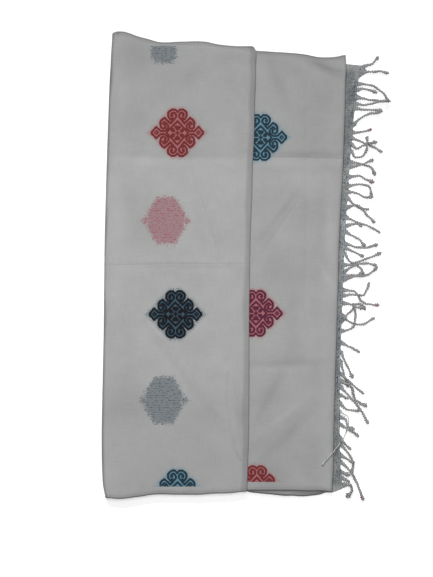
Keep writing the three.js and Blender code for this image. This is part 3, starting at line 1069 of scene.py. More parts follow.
    def show_through(self, board: Board, beneath: Signal, colour: Signal, strength: float) -> Signal:
        """Adds the blurred motifs of the layer beneath, seen through the cloth.

        Args:
            board: The material.
            beneath: The place on the layer beneath, in metres.
            colour: The cloth's colour.
            strength: How strongly they show.

        Returns:
            The new colour.
        """
        at, number = self.nearest_motif(board, beneath)
        streaks = board.grain(beneath, 90, 700, 2.0)
        specks = board.grain(beneath, 420, 640)
        uneven = board.grain(beneath, 210, 320)
        x, _, _ = board.split(at)
        _, over, _ = board.split(beneath)
        near = x - 25.0 - 32.0 * over.below(0.87)
        outside = self.blurred_outline(board, at).most(near) + 22.0 * (uneven - 0.5)
        soft = outside.fade(-2.5, 3.0) * self.within_rows(board, beneath) * strength
        share = soft * (0.66 + 0.5 * streaks - 0.9 * (specks - 0.5))
        colour = board.blend(colour, self._ramp(board, number, "ghost"), share)
        rows = (over * (2 * np.pi / self.row_pitch / MM)).apply("SINE")
        dashes = board.grain(beneath, 170, 330)
        floats = rows * 0.45 + (dashes - 0.5) * 6.0 + (specks - 0.5) * 3.4
        floats = ((floats - 0.5) * 2.4).clamped() * soft * 0.9
        return board.blend(colour, self._ramp(board, number, "stitch"), floats)

    def _ramp(self, board: Board, number: Signal, shade: str) -> Signal:
        """One shade of the motif's yarn."""
        yarns = self.yarns()
        stops = [(i / len(yarns), linear(getattr(yarn, shade))) for i, yarn in enumerate(yarns)]
        return board.node("ShaderNodeValToRGB", {"stops": stops}, {0: number})


@dataclass(frozen=True)
class HairCrease:
    """A fine sharp crease: its line in millimetres, its half-width and its lift."""

    line: tuple[tuple[float, float], ...]
    width: float
    lift: float


@dataclass(frozen=True)
class GroundCotton:
    """The pale ground cloth: fine plain weave with slubs, motifs and the hair creases that pressing left.

    Depths are in millimetres. Contrasts and losses are shares of the shade: the losses are painted shade
    along the folds, and where the cloth is darker at its selvedge, on the fine cord beside that, and
    where that is rubbed.
    """

    shade: Colour = (164, 165, 164)
    thread: float = 0.62
    weave_depth: float = 0.05
    slub_depth: float = 0.05
    motif_depth: float = 0.16
    slub_contrast: float = 0.24
    mottle_contrast: float = 0.3
    grain_contrast: float = 0.14
    pressed_loss: float = 0.24
    selvedge_loss: float = 0.38
    cord_place: float = 5.6
    cord_loss: float = 0.14
    rubbed_loss: float = 0.16
    crease_gain: float = 1.8
    brocade: Brocade = Brocade()

    def material(
        self, name: str, beneath: float = 0.0, creases: Sequence[HairCrease] = ()
    ) -> bpy.types.Material:
        """Makes the finish for one piece.

        Args:
            name: The material's name.
            beneath: How strongly the layer beneath shows through.
            creases: The piece's fine creases.

        Returns:
            The material.
        """
        board = Board(name)
        cloth = board.uv("cloth")
        slub_along = board.grain(cloth, 35, 1500, 3.0)
        slub_over = board.grain(cloth, 1500, 35, 3.0)
        mottle = board.cloud(cloth, 14.0, 4.0, 0.6)
        grain = board.grain(cloth, 420, 420)
        tone = 1 + self.slub_contrast * (slub_along + slub_over - 1)
        tone = tone + self.mottle_contrast * (mottle - 0.5) + self.grain_contrast * (grain - 0.5)
        to_selvedge = board.attribute("to_selvedge")
        cord = abs(to_selvedge - self.cord_place).fade(0.3, 1.1) * self.cord_loss
        rubbed = mottle * to_selvedge.fade(4.0, 13.0) * self.rubbed_loss
        tone = tone * (1 - self.selvedge_loss * to_selvedge.fade(1.5, 4.0) - (cord + rubbed))
        # Painted shade along the folds and the pile's left edge.
        tone = tone * (1 - self.pressed_loss * board.attribute("pressed"))
        # Painted shading carried by the tone attribute: the patches and the shade behind the crosswise
        # crease.
        tone = tone * (1 + board.attribute("tone"))
        weave = board.plain_weave(cloth, self.thread)
        tone = tone * (1 + 0.03 * weave)
        colour = board.shade(board.vector(*linear(self.shade)[:3]), tone)
        if beneath:
            colour = self.brocade.show_through(board, board.uv("beneath"), colour, beneath)
        colour, motif = self.brocade.weave_into(board, cloth, colour)
        height = weave * (self.weave_depth * MM) + motif * (self.motif_depth * MM)
        height = height + (slub_along + slub_over) * (self.slub_depth * MM)
        place = board.turn("SCALE", board.place(), scale=1000.0)
        flat = board.turn("MULTIPLY", place, (1, 1, 0))
        for crease in creases:
            distance = board.distance_to_line(board.after(flat, height), crease.line) / crease.width
            rise = (distance * distance * -1).apply("EXPONENT")
            height = height + rise * (self.crease_gain * crease.lift * MM)
        roughness = 0.86 + 0.1 * mottle
        return board.finish(colour, roughness, board.bump(height, 1.0), sheen=0.08)


@dataclass(frozen=True)
class BorderCotton:
    """The open end border: blue-grey cloth whose weft thins out towards the hem."""

    shade: Colour = (143, 145, 144)
    shadow: Colour = (106, 110, 112)
    fleck: Colour = (168, 169, 167)
    dot: Colour = (42, 76, 98)
    selvedge: Colour = (150, 152, 151)
    thread: float = 1.15
    middle: float = 0.442
    weave_depth: float = 0.08
    slub_depth: float = 0.12

    def material(self, name: str) -> bpy.types.Material:
        """Makes the border's finish.

        Args:
            name: The material's name.

        Returns:
            The material.
        """
        board = Board(name)
        cloth = board.uv("cloth")
        along, over, _ = board.split(cloth)
        weave = board.plain_weave(cloth, self.thread)
        wefts = board.grain(cloth, 600, 90, 2.0)
        warps = board.grain(cloth, 130, 520, 2.0)
        flecks = board.grain(cloth, 330, 330)
        patches = board.cloud(cloth, 30.0, 4.0, 0.6)
        dark = ((warps - 0.5) * 3.4 + (wefts - 0.5) * 1.4 + (patches - 0.45) * 4.5 + 0.5).clamped()
        colour = board.blend(linear(self.shade), linear(self.shadow), dark)
        light = ((flecks - 0.55) * 7 + (warps - 0.5) * 1.2).clamped()
        colour = board.blend(colour, linear(self.fleck), light * 0.55)
        inside = abs(over - self.middle).fade(0.410, 0.422)
        colour = board.blend(linear(self.selvedge), colour, inside)
        near_hem = along.fade(0.003, 0.016)
        spots = board.grain(cloth, 250, 270, 0.0)
        dots = ((spots - 0.74 + 0.12 * near_hem) * 30).clamped()
        colour = board.blend(colour, linear(self.dot), dots)
        # Painted shading from the patches, carried by the tone attribute.
        colour = board.shade(colour, (1 + 0.1 * weave) * (1 + board.attribute("tone")))
        height = (weave * self.weave_depth + (wefts + warps) * self.slub_depth) * MM
        roughness = 0.85 + 0.12 * flecks
        return board.finish(colour, roughness, board.bump(height, 1.0), sheen=0.05)


@dataclass(frozen=True)
class FringeYarn:
    """The twisted warp ends: grey two-ply yarn with painted shade in its grooves and along its sides, a few
    dipped red.
    """

    shade: Colour = (168, 169, 168)
    groove: Colour = (62, 67, 72)
    red: Colour = (150, 66, 72)
    pale: Colour = (186, 188, 187)

    def material(self, name: str) -> bpy.types.Material:
        """Makes the yarn's finish.

        Args:
            name: The material's name.

        Returns:
            The material.
        """
        board = Board(name)
        place = board.place()
        fibres = board.cloud(place, 900.0, 3.0)
        patches = board.cloud(place, 160.0, 2.0)
        groove = board.attribute("groove")
        # Painted shade: darker in the twist's grooves and on the strand's sides.
        colour = board.blend(linear(self.shade), linear(self.groove), (groove * 0.8).clamped())
        colour = board.blend(colour, linear(self.pale), board.attribute("pale"))
        specks = board.cloud(place, 330.0, 0.0)
        red = ((specks - 0.74 + 0.16 * board.attribute("red")) * 25).clamped() * 0.85
        colour = board.blend(colour, linear(self.red), red)
        colour = board.shade(colour, 0.8 + 0.4 * fibres)
        height = fibres * (0.12 * MM)
        roughness = 0.84 + 0.14 * patches
        return board.finish(colour, roughness, board.bump(height, 1.0), sheen=0.05)


@dataclass
class Panel(ABC):
    """A panel that shows. Its kinds give its section and where shade is painted along its folds.

    A wave is a mean wavelength and a seed. The reference is the column of its section whose x
    sets the places on the cloth. The back stretch is where a painted shade, the back shade, eases
    in over the cloth behind the crosswise crease.
    """

    name: str
    layer: Layer
    lines: tuple[Curve, Curve]
    selvedges: Table
    column: Table
    column_along: float
    beneath: Table
    reference: int
    relief_wave: tuple[float, int]
    droop_wave: tuple[float, int]
    edge_droop: float
    painted_back_shade: float
    back_stretch: tuple[float, float] = (222, 236)
    beneath_along: float = 1452
    relief: float = 0.3
    droop_reach: float = 7
    thickness: float = 0.5
    rows: int = 330

    @abstractmethod
    def section(self) -> Section:
        """Its section from left to right."""

    @abstractmethod
    def pressed(self, x: np.ndarray, y: np.ndarray) -> np.ndarray:
        """How much painted shade lies at each place along the folds."""

    def build(self) -> bpy.types.Object:
        """Builds the panel with its creases, drooping selvedges and maps of the cloth.

        The droop is uneven and fades from the selvedge as e^-(distance / reach)^2.

        Returns:
            The piece.
        """
        section = self.section()
        points, front, back = panel_points(section, self.rows, self.selvedges, *self.lines)
        x, y = points[..., 0], points[..., 1]
        relief = crease_height(self.layer, x, y) + self.relief * ripples(x, y, *self.relief_wave)
        points[..., 2] += section.crease * relief
        to_edge = np.minimum(y - front, back - y)
        uneven = 1 + 0.6 * ripples(x, y, *self.droop_wave)
        near = np.exp(-((to_edge / self.droop_reach) ** 2))
        points[..., 2] -= section.crease * self.edge_droop * uneven * near
        cloth = cloth_places(points, self.reference, self.column, self.column_along, -1)
        piece = cloth_piece(self.name, points, cloth, self.thickness)
        beneath = cloth_places(points, self.reference, self.beneath, self.beneath_along, 1)
        lay_map(piece, "beneath", beneath)
        lay_attribute(piece, "to_selvedge", to_edge)
        lay_attribute(piece, "pressed", self.pressed(x, y))
        # Painted shading: the patches, less the painted shade behind the crosswise crease.
        painted_back = self.painted_back_shade * smooth_step(*self.back_stretch, y)
        lay_attribute(piece, "tone", painted_shading_tone(self.layer, x, y) - painted_back)
        return piece


@dataclass
class TopPanel(Panel):
    """The panel that lies over everything, wrapped round the pile's left edge and its own fold."""

    name: str = "top_panel_cloth"
    layer: Layer = Layer.TOP
    lines: tuple[Curve, Curve] = (left_edge, top_fold)
    selvedges: Table = TOP_SELVEDGES
    column: Table = TOP_COLUMN
    column_along: float = 1776
    beneath: Table = TOP_BENEATH
    reference: int = 37
    relief_wave: tuple[float, int] = (90, 3)
    droop_wave: tuple[float, int] = (60, 5)
    edge_droop: float = 1.1
    painted_back_shade: float = 0.07
    high: float = 16
    left: Fold = Fold(0, 15.2, 8, 20, 295)
    right: Fold = Fold(9.1, 14.2, 6, 18, 295)
    slope_share: float = 0.10
    columns: int = 92
    cut: tuple[float, float] = (0.915, 0.374)
    creases: tuple[HairCrease, ...] = (
        HairCrease(((-67, 221), (-55, 175), (-37, 123), (-11, 38), (-7, 14)), 2.6, -0.38),
        HairCrease(((-158, -100), (-113, -159), (-67, -205), (-34, -258), (-14, -290)), 3.5, -0.1),
        HairCrease(((9, -198), (7, -245), (15, -304), (25, -350), (35, -376)), 2.2, 0.55),
        HairCrease(((-236, 8), (-100, 12), (20, 11), (55, 12)), 1.8, -0.16),
        HairCrease(((38, 30), (47, 19), (55, 12)), 2.2, -0.25),
        HairCrease(((-66, 385), (-67, 345)), 2.6, -0.2),
        HairCrease(((-100, 447), (-20, 444), (30, 441), (58, 430)), 2.0, -0.25),
    )

    def section(self) -> Section:
        """Its section from under the left edge, over the pile and round the fold.

        Returns:
            The section's places.
        """
        across = np.linspace(0, 1, self.columns + 2)[1:-1]
        left_drop = edge_drop(self.high - self.left.high, across, self.slope_share)
        right_drop = edge_drop(self.high - self.right.high, 1 - across, self.slope_share)
        over = Section.facing_up(
            across,
            lerp(self.left.turn, -self.right.turn, across),
            self.high - left_drop - right_drop,
            np.minimum(1, np.minimum(5 * across, 7 * (1 - across))),
        )
        return Section.joined([
            Section.beside(self.left, 0, self.left.return_steps()[::-1], self.left.low),
            Section.turned(self.left, across=0, side=-1, steps=14),
            over,
            Section.turned(self.right, across=1, side=1, steps=10).reversed(),
            Section.beside(self.right, 1, -self.right.return_steps(), self.right.low),
        ])

    def pressed(self, x: np.ndarray, y: np.ndarray) -> np.ndarray:
        """Painted shade: strong along the left edge and less along the fold, up to uneven lines beside
        them.

        Args:
            x: Places along the cloth.
            y: Places across the loom.

        Returns:
            The painted shade, 1 along the fold and 2 at the left edge.
        """
        before_fold = top_fold(y) - x + 2.0 * ripples(x * 0, y, 120, 6)
        past_edge = x - left_edge(y) + 1.5 * ripples(x * 0, y, 90, 8)
        at_fold = 1 - smooth_step(7, 15, before_fold)
        at_edge = 2.0 * (1 - smooth_step(0, 7, past_edge))
        return np.maximum(at_fold, at_edge)

    def dress(self, piece: bpy.types.Object) -> None:
        """Gives the panel its finish and its place in the frame."""
        finish = GroundCotton().material("ground_cotton_top", 1.0, self.creases)
        piece.data.materials.append(finish)
        settle(piece, "top_panel")


@dataclass
class MiddlePanel(Panel):
    """The panel that shows between the top panel's fold and its own fold."""

    name: str = "middle_panel_cloth"
    layer: Layer = Layer.MIDDLE
    lines: tuple[Curve, Curve] = (top_fold, middle_fold)
    selvedges: Table = MIDDLE_SELVEDGES
    column: Table = MIDDLE_COLUMN
    column_along: float = 1128
    beneath: Table = MIDDLE_BENEATH
    reference: int = 20
    relief_wave: tuple[float, int] = (80, 11)
    droop_wave: tuple[float, int] = (60, 12)
    edge_droop: float = 0.8
    painted_back_shade: float = 0.02
    high: float = 8.5
    underlap: float = 45
    right: Fold = Fold(1.5, 8, 3.5, 16, 175)
    slope_share: float = 0.12
    columns: int = 64
    hidden_columns: int = 10
    cut: tuple[float, float] = (0.878, 0.250)
    creases: tuple[HairCrease, ...] = (
        HairCrease(((168, 385), (167, 200), (167, 0), (166, -120)), 2.2, -0.2),
        HairCrease(((62, 224), (150, 224), (246, 221)), 2.2, -0.3),
        HairCrease(((153, 139), (118, 92), (80, 33)), 4.0, -0.25),
        HairCrease(((168, 427), (186, 411), (210, 399), (246, 391)), 4.0, -0.35),
        HairCrease(((58, 48), (66, 24), (60, 8)), 3.0, -0.2),
        HairCrease(((176, -92), (186, -120)), 4.0, -0.2),
    )

    def section(self) -> Section:
        """Its section from under the top panel to its fold and round it.

        Returns:
            The section's places.
        """
        across = np.linspace(0, 1, self.columns + 1)[:-1]
        drop = edge_drop(self.high - self.right.high, 1 - across, self.slope_share)
        over = Section.facing_up(
            across, -self.right.turn * across, self.high - drop, np.minimum(1, 12 * across)
        )
        under = np.linspace(self.underlap, 4, self.hidden_columns)
        still = np.zeros_like(under)
        hidden = Section.facing_up(still, -under, still + self.high, still)
        return Section.joined([
            hidden,
            over,
            Section.turned(self.right, across=1, side=1, steps=10).reversed(),
            Section.beside(self.right, 1, -self.right.return_steps(), self.right.low),
        ])

    def pressed(self, x: np.ndarray, y: np.ndarray) -> np.ndarray:
        """Painted shade, light along the fold, up to an uneven line beside it."""
        before_fold = middle_fold(y) - x + ripples(x * 0, y, 120, 7)
        return 0.6 * (1 - smooth_step(2, 7, before_fold))

    def dress(self, piece: bpy.types.Object) -> None:
        """Gives the panel its finish and its place in the frame."""
        # A darker copy of the same cotton: painted shade on the lower panel.
        cotton = GroundCotton(shade=(158, 159, 158))
        piece.data.materials.append(cotton.material("ground_cotton_middle", 0.2, self.creases))
        settle(piece, "middle_panel")


def panel_points(
    section: Section, rows: int, selvedges: Table, from_line: Curve, to_line: Curve
) -> tuple[np.ndarray, np.ndarray, np.ndarray]:
    """A panel's outer face: each section place's y runs from the front selvedge to the back one,
    and its x lies that share of the way between the two fold lines at that y, plus its shift.

    Args:
        section: The panel's section.
        rows: Rows from front to back.
        selvedges: Its selvedges.
        from_line: The fold line at its left.
        to_line: The fold line at its right.

    Returns:
        Rows and columns of points, and the y of each column's front and back selvedge.
    """
    column = {name: selvedges.curve("across", name)(section.selvedge) for name in selvedges.columns}
    front = column["front"] - section.spill * column["frontSpill"]
    back = column["back"] + section.spill * column["backSpill"]
    row = np.linspace(0, 1, rows)[:, None]
    y = lerp(front, back, row)
    x = lerp(from_line(y), to_line(y), section.across) + section.shift
    z = np.broadcast_to(section.height, x.shape)
    return np.stack([x, y, z], axis=-1), front, back


def cloth_places(
    points: np.ndarray, reference: int, column: Table, motif_along: float, sense: int
) -> np.ndarray:
    """Places on the flat cloth of a grid's points.

    Along the cloth they are the distance over the surface from a reference column, set so that
    the motifs of one column fall where the table says. Across the loom they follow the table.

    Args:
        points: The grid.
        reference: The column whose x is read.
        column: Where the motifs lie.
        motif_along: Their place along the cloth.
        sense: 1 where the cloth's length runs to +X, otherwise -1.

    Returns:
        Two numbers a point, in millimetres.
    """
    length = arc_length(points)
    y = points[..., 1]
    from_motif = points[:, reference, None, 0] - column.curve("y", "x")(y)
    past_reference = length - length[:, reference, None]
    along = motif_along + sense * (from_motif + past_reference)
    return np.stack([along, column.curve("y", "v")(y)], axis=-1)


def settle(piece: bpy.types.Object, node: str) -> None:
    """Puts a piece in the frame: it rides on the body and stands for a node."""
    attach(piece, BODY)
    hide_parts(node)


@dataclass(frozen=True)
class TurnedPair:
    """Two layers joined by a turn: a run from a fold line to the left, and one back to the right.

    Each run's height eases from its first value to its second between two shares of the run. The
    runs end a distance before the fold line, and the turn lies a distance inside the left edge.
    """

    name: str
    fold_line: Curve
    turn_place: float
    bulge: float
    out_end: float
    out_heights: tuple[float, float]
    out_ease: tuple[float, float]
    home_end: float
    home_heights: tuple[float, float]
    home_ease: tuple[float, float]
    insets: tuple[float, float, float]
    steps: int
    seed: int
    cloth_start: float
    turn_steps: int = 9

    def counts(self) -> list[int]:
        """Places on the first run, the turn and the second run."""
        return [self.steps, self.turn_steps, self.steps]

    def angles(self) -> np.ndarray:
        """Angles round the turn, from above it to below."""
        return np.linspace(np.pi / 2, 3 * np.pi / 2, self.turn_steps + 2)[1:-1]

    def heights(self) -> np.ndarray:
        """Heights along the section.

        Returns:
            The heights.
        """
        run = np.linspace(0, 1, self.steps)
        upper, lower = self.out_heights[1], self.home_heights[0]
        return np.concatenate([
            lerp(*self.out_heights, smooth_step(*self.out_ease, run)),
            (upper + lower) / 2 + (upper - lower) / 2 * np.sin(self.angles()),
            lerp(*self.home_heights, smooth_step(*self.home_ease, run)),
        ])

    def x_of(self, y: np.ndarray) -> np.ndarray:
        """The section's x at each row's y: a run left, the turn, and a run right.

        Args:
            y: Each row's y, in its first column.

        Returns:
            One row of x for each y.
        """
        run = np.linspace(0, 1, self.steps)
        end = left_edge(y[:, [0]]) + self.turn_place
        start = self.fold_line(y[:, [0]])
        out = lerp(start - self.out_end, end, run)
        home = lerp(end, start - self.home_end, run)
        return np.concatenate([out, end + self.bulge * np.cos(self.angles()), home], axis=1)


@dataclass
class HiddenLayers:
    """The layers between the two panels and the surface: two turned pairs and the bottom one.

    Each layer is a run along the section with its own height and its own selvedges.
    """

    upper: TurnedPair = TurnedPair(
        name="upper_layers_cloth", fold_line=top_fold, turn_place=53.0, bulge=3.2,
        out_end=24.3, out_heights=(9.1, 11.9), out_ease=(0, 0.3),
        home_end=45.3, home_heights=(7.4, 8.5), home_ease=(0.6, 1),
        insets=(2.0, 2.4, 2.8), steps=46, seed=21, cloth_start=1598,
    )
    lower: TurnedPair = TurnedPair(
        name="lower_layers_cloth", fold_line=middle_fold, turn_place=5.0, bulge=2.4,
        out_end=19.8, out_heights=(1.5, 5.4), out_ease=(0, 0.22),
        home_end=25.3, home_heights=(2.1, 0.7), home_ease=(0.86, 1),
        insets=(1.6, 2.2, 2.6), steps=60, seed=31, cloth_start=948,
    )
    thickness: float = 0.5
    rows: int = 150
    bottom_start: float = 28.3
    bottom_end: float = 167.0
    bottom_steps: int = 60
    bottom_insets: tuple[float, float] = (3.2, 2.6)
    bottom_cloth_start: float = 1948
    cuts: tuple[tuple[float, float], ...] = ((0.905, 0.456), (0.900, 0.860), (0.895, 0.372))

    def selvedge(self, side: str, x: np.ndarray, y: np.ndarray) -> tuple[np.ndarray, np.ndarray]:
        """The selvedge of the panel above at x, and how far a layer may spill past it.

        Args:
            side: Front or back.
            x: Places along the cloth.
            y: Where the fold lines are read.

        Returns:
            The selvedge's y and the spill.
        """
        over_middle = smooth_step(-10, 10, x - top_fold(y))
        across_top = np.clip((x - left_edge(y)) / (top_fold(y) - left_edge(y)), 0, 1)
        across_middle = np.clip((x - top_fold(y)) / (middle_fold(y) - top_fold(y)), 0, 1)
        values = []
        for name in (side, side + "Spill"):
            top = TOP_SELVEDGES.curve("across", name)(across_top)
            middle = MIDDLE_SELVEDGES.curve("across", name)(across_middle)
            values.append(lerp(top, middle, over_middle))
        return values[0], values[1]

    def rough_rows(self, count: int) -> tuple[np.ndarray, np.ndarray]:
        """Each row's share of the way across the loom, and its rough y at so many places."""
        row = np.linspace(0, 1, self.rows)[:, None]
        return row, lerp(ROUGH_FRONT, ROUGH_BACK, row) * np.ones(count)

    def build_pair(self, pair: TurnedPair) -> bpy.types.Object:
        """Builds a turned pair: its section is carried from the front selvedge to the back one.

        The selvedges lie inside those of the panel above by the pair's insets, but the first run
        follows the panel's spill. Soft waves fade from them as e^-(distance / 16)^2.

        Args:
            pair: The pair.

        Returns:
            The piece.
        """
        height = pair.heights()
        inset = np.repeat(pair.insets, pair.counts())
        spill = np.concatenate(
            [np.ones(pair.steps), np.linspace(1, 0, pair.turn_steps), np.zeros(pair.steps)]
        )
        row, rough = self.rough_rows(len(height))
        x = pair.x_of(rough)
        front, front_spill = self.selvedge("front", x, rough)
        back, back_spill = self.selvedge("back", x, rough)
        wander = ripples(x, height * 40, 70, pair.seed)
        front = front + inset * (1 + 0.5 * wander) - spill * (front_spill + inset)
        back = back - inset * (1 - 0.5 * wander) + spill * (back_spill + inset)
        y = lerp(front, back, row)
        to_edge = np.minimum(y - front, back - y)
        wave = 0.55 * ripples(x, height * 60, 45, pair.seed + 1) * np.exp(-((to_edge / 16) ** 2))
        points = np.stack([pair.x_of(y), y, height + wave], axis=-1)
        return self._piece(pair.name, points, pair.cloth_start)

    def build_bottom(self) -> bpy.types.Object:
        """Builds the layer on the surface: from the top panel's return to its own hidden end.

        Returns:
            The piece.
        """
        run = np.linspace(0, 1, self.bottom_steps)

        def x_of(y: np.ndarray) -> np.ndarray:
            """The section's x, from the return to the hidden end."""
            return lerp(left_edge(y[:, [0]]) + self.bottom_start, self.bottom_end, run)

        row, rough = self.rough_rows(self.bottom_steps)
        x = x_of(rough)
        front_inset, back_inset = self.bottom_insets
        front = self.selvedge("front", x, rough)[0] + front_inset + ripples(x, 0 * x, 80, 41)
        back = self.selvedge("back", x, rough)[0] - back_inset - ripples(x, 0 * x, 80, 42)
        y = lerp(front, back, row)
        points = np.stack([x_of(y), y, np.full_like(y, self.thickness)], axis=-1)
        return self._piece("bottom_layer_cloth", points, self.bottom_cloth_start, 1)

    def build(self) -> list[bpy.types.Object]:
        """Builds the upper pair, the lower pair and the bottom layer."""
        return [self.build_pair(self.upper), self.build_pair(self.lower), self.build_bottom()]

    def _piece(
        self, name: str, points: np.ndarray, start: float, sense: int = -1
    ) -> bpy.types.Object:
        """A piece whose cloth places run up or down from start along the section, by its sense,
        and over the loom width.

        Args:
            name: The piece's name.
            points: Rows and columns of points.
            start: The first column's place along the cloth.
            sense: 1 where the cloth's length runs with the section, otherwise -1.

        Returns:
            The piece.
        """
        y = points[..., 1]
        over = LOOM_WIDTH * (y - y[:1]) / (y[-1:] - y[:1])
        cloth = np.stack([start + sense * arc_length(points), over], axis=-1)
        piece = cloth_piece(name, points, cloth, self.thickness)
        lay_attribute(piece, "to_selvedge", np.minimum(y - y[:1], y[-1:] - y))
        # The hidden layers take no painted shade from these attributes.
        for name in ("pressed", "tone"):
            lay_attribute(piece, name, np.zeros_like(y))
        return piece

    def dress(self, pieces: Sequence[bpy.types.Object]) -> None:
        """Gives the layers their finish and their places in the frame.

        Args:
            pieces: The upper pair, the lower pair and the bottom layer.
        """
        # A darker copy of the same cotton: painted shade on the layers beneath.
        finish = GroundCotton(shade=(160, 161, 160)).material("ground_cotton_hidden")
        supports = ("lower_layers_cloth", "bottom_layer_cloth", "floor")
        for piece, cut, below in zip(pieces, self.cuts, supports):
            piece.data.materials.append(finish)
            settle(piece, "inner_layers")


def border_ends(across: np.ndarray) -> tuple[np.ndarray, np.ndarray]:
    """The end border's front and back selvedges, across from the middle fold to the hem."""
    front, back = (BORDER_SELVEDGES.curve("across", name) for name in ("front", "back"))
    return front(across), back(across)


def border_strip(
    name: str, x: np.ndarray, y: np.ndarray, z: np.ndarray, thickness: float
) -> bpy.types.Object:
    """A strip of border cloth, with its places measured from the hem and the front selvedge.

    Args:
        name: The piece's name.
        x: The grid's places along the cloth.
        y: Its places across the loom.
        z: Its heights.
        thickness: The cloth's thickness.

    Returns:
        The piece.
    """
    cloth = np.stack([hem_line(y) - x, y + BORDER_START], axis=-1)
    piece = cloth_piece(name, np.stack([x, y, z], axis=-1), cloth, thickness)
    # Painted shading patches of the end border.
    lay_attribute(piece, "tone", painted_shading_tone(Layer.BORDER, x, y))
    return piece


@dataclass
class EndBorder:
    """The cloth's open end: a flat strip that shows beside the middle panel, up to the hem."""

    underlap: float = 25
    underlap_share: float = 0.8
    header: float = 3.3
    rows: int = 560
    columns: int = 26
    height: float = 1.0
    thickness: float = 0.5
    cut: tuple[float, float] = (0.850, 0.042)

    def build(self) -> bpy.types.Object:
        """Builds the strip from under the middle panel's fold to the hem.

        Returns:
            The piece.
        """
        across = np.linspace(-self.underlap_share, 1, self.columns)
        inner = np.clip(across / -self.underlap_share, 0, 1)
        front, back = border_ends(across)
        y = lerp(front, back, np.linspace(0, 1, self.rows)[:, None])
        outside = hem_line(y) - self.header
        x = lerp(middle_fold(y), outside, np.clip(across, 0, 1)) - self.underlap * inner
        shown = smooth_step(-4, 6, x - middle_fold(y))
        z = self.height - 0.35 * (1 - shown) + 0.22 * shown * ripples(x * 2, y, 26, 51)
        return border_strip("end_border_cloth", x, y, z, self.thickness)

    def dress(self, piece: bpy.types.Object, hem: Sequence[bpy.types.Object]) -> None:
        """Gives the border its finish and its place in the frame."""
        piece.data.materials.append(BorderCotton().material("border_cotton"))
        settle(piece, "end_border")


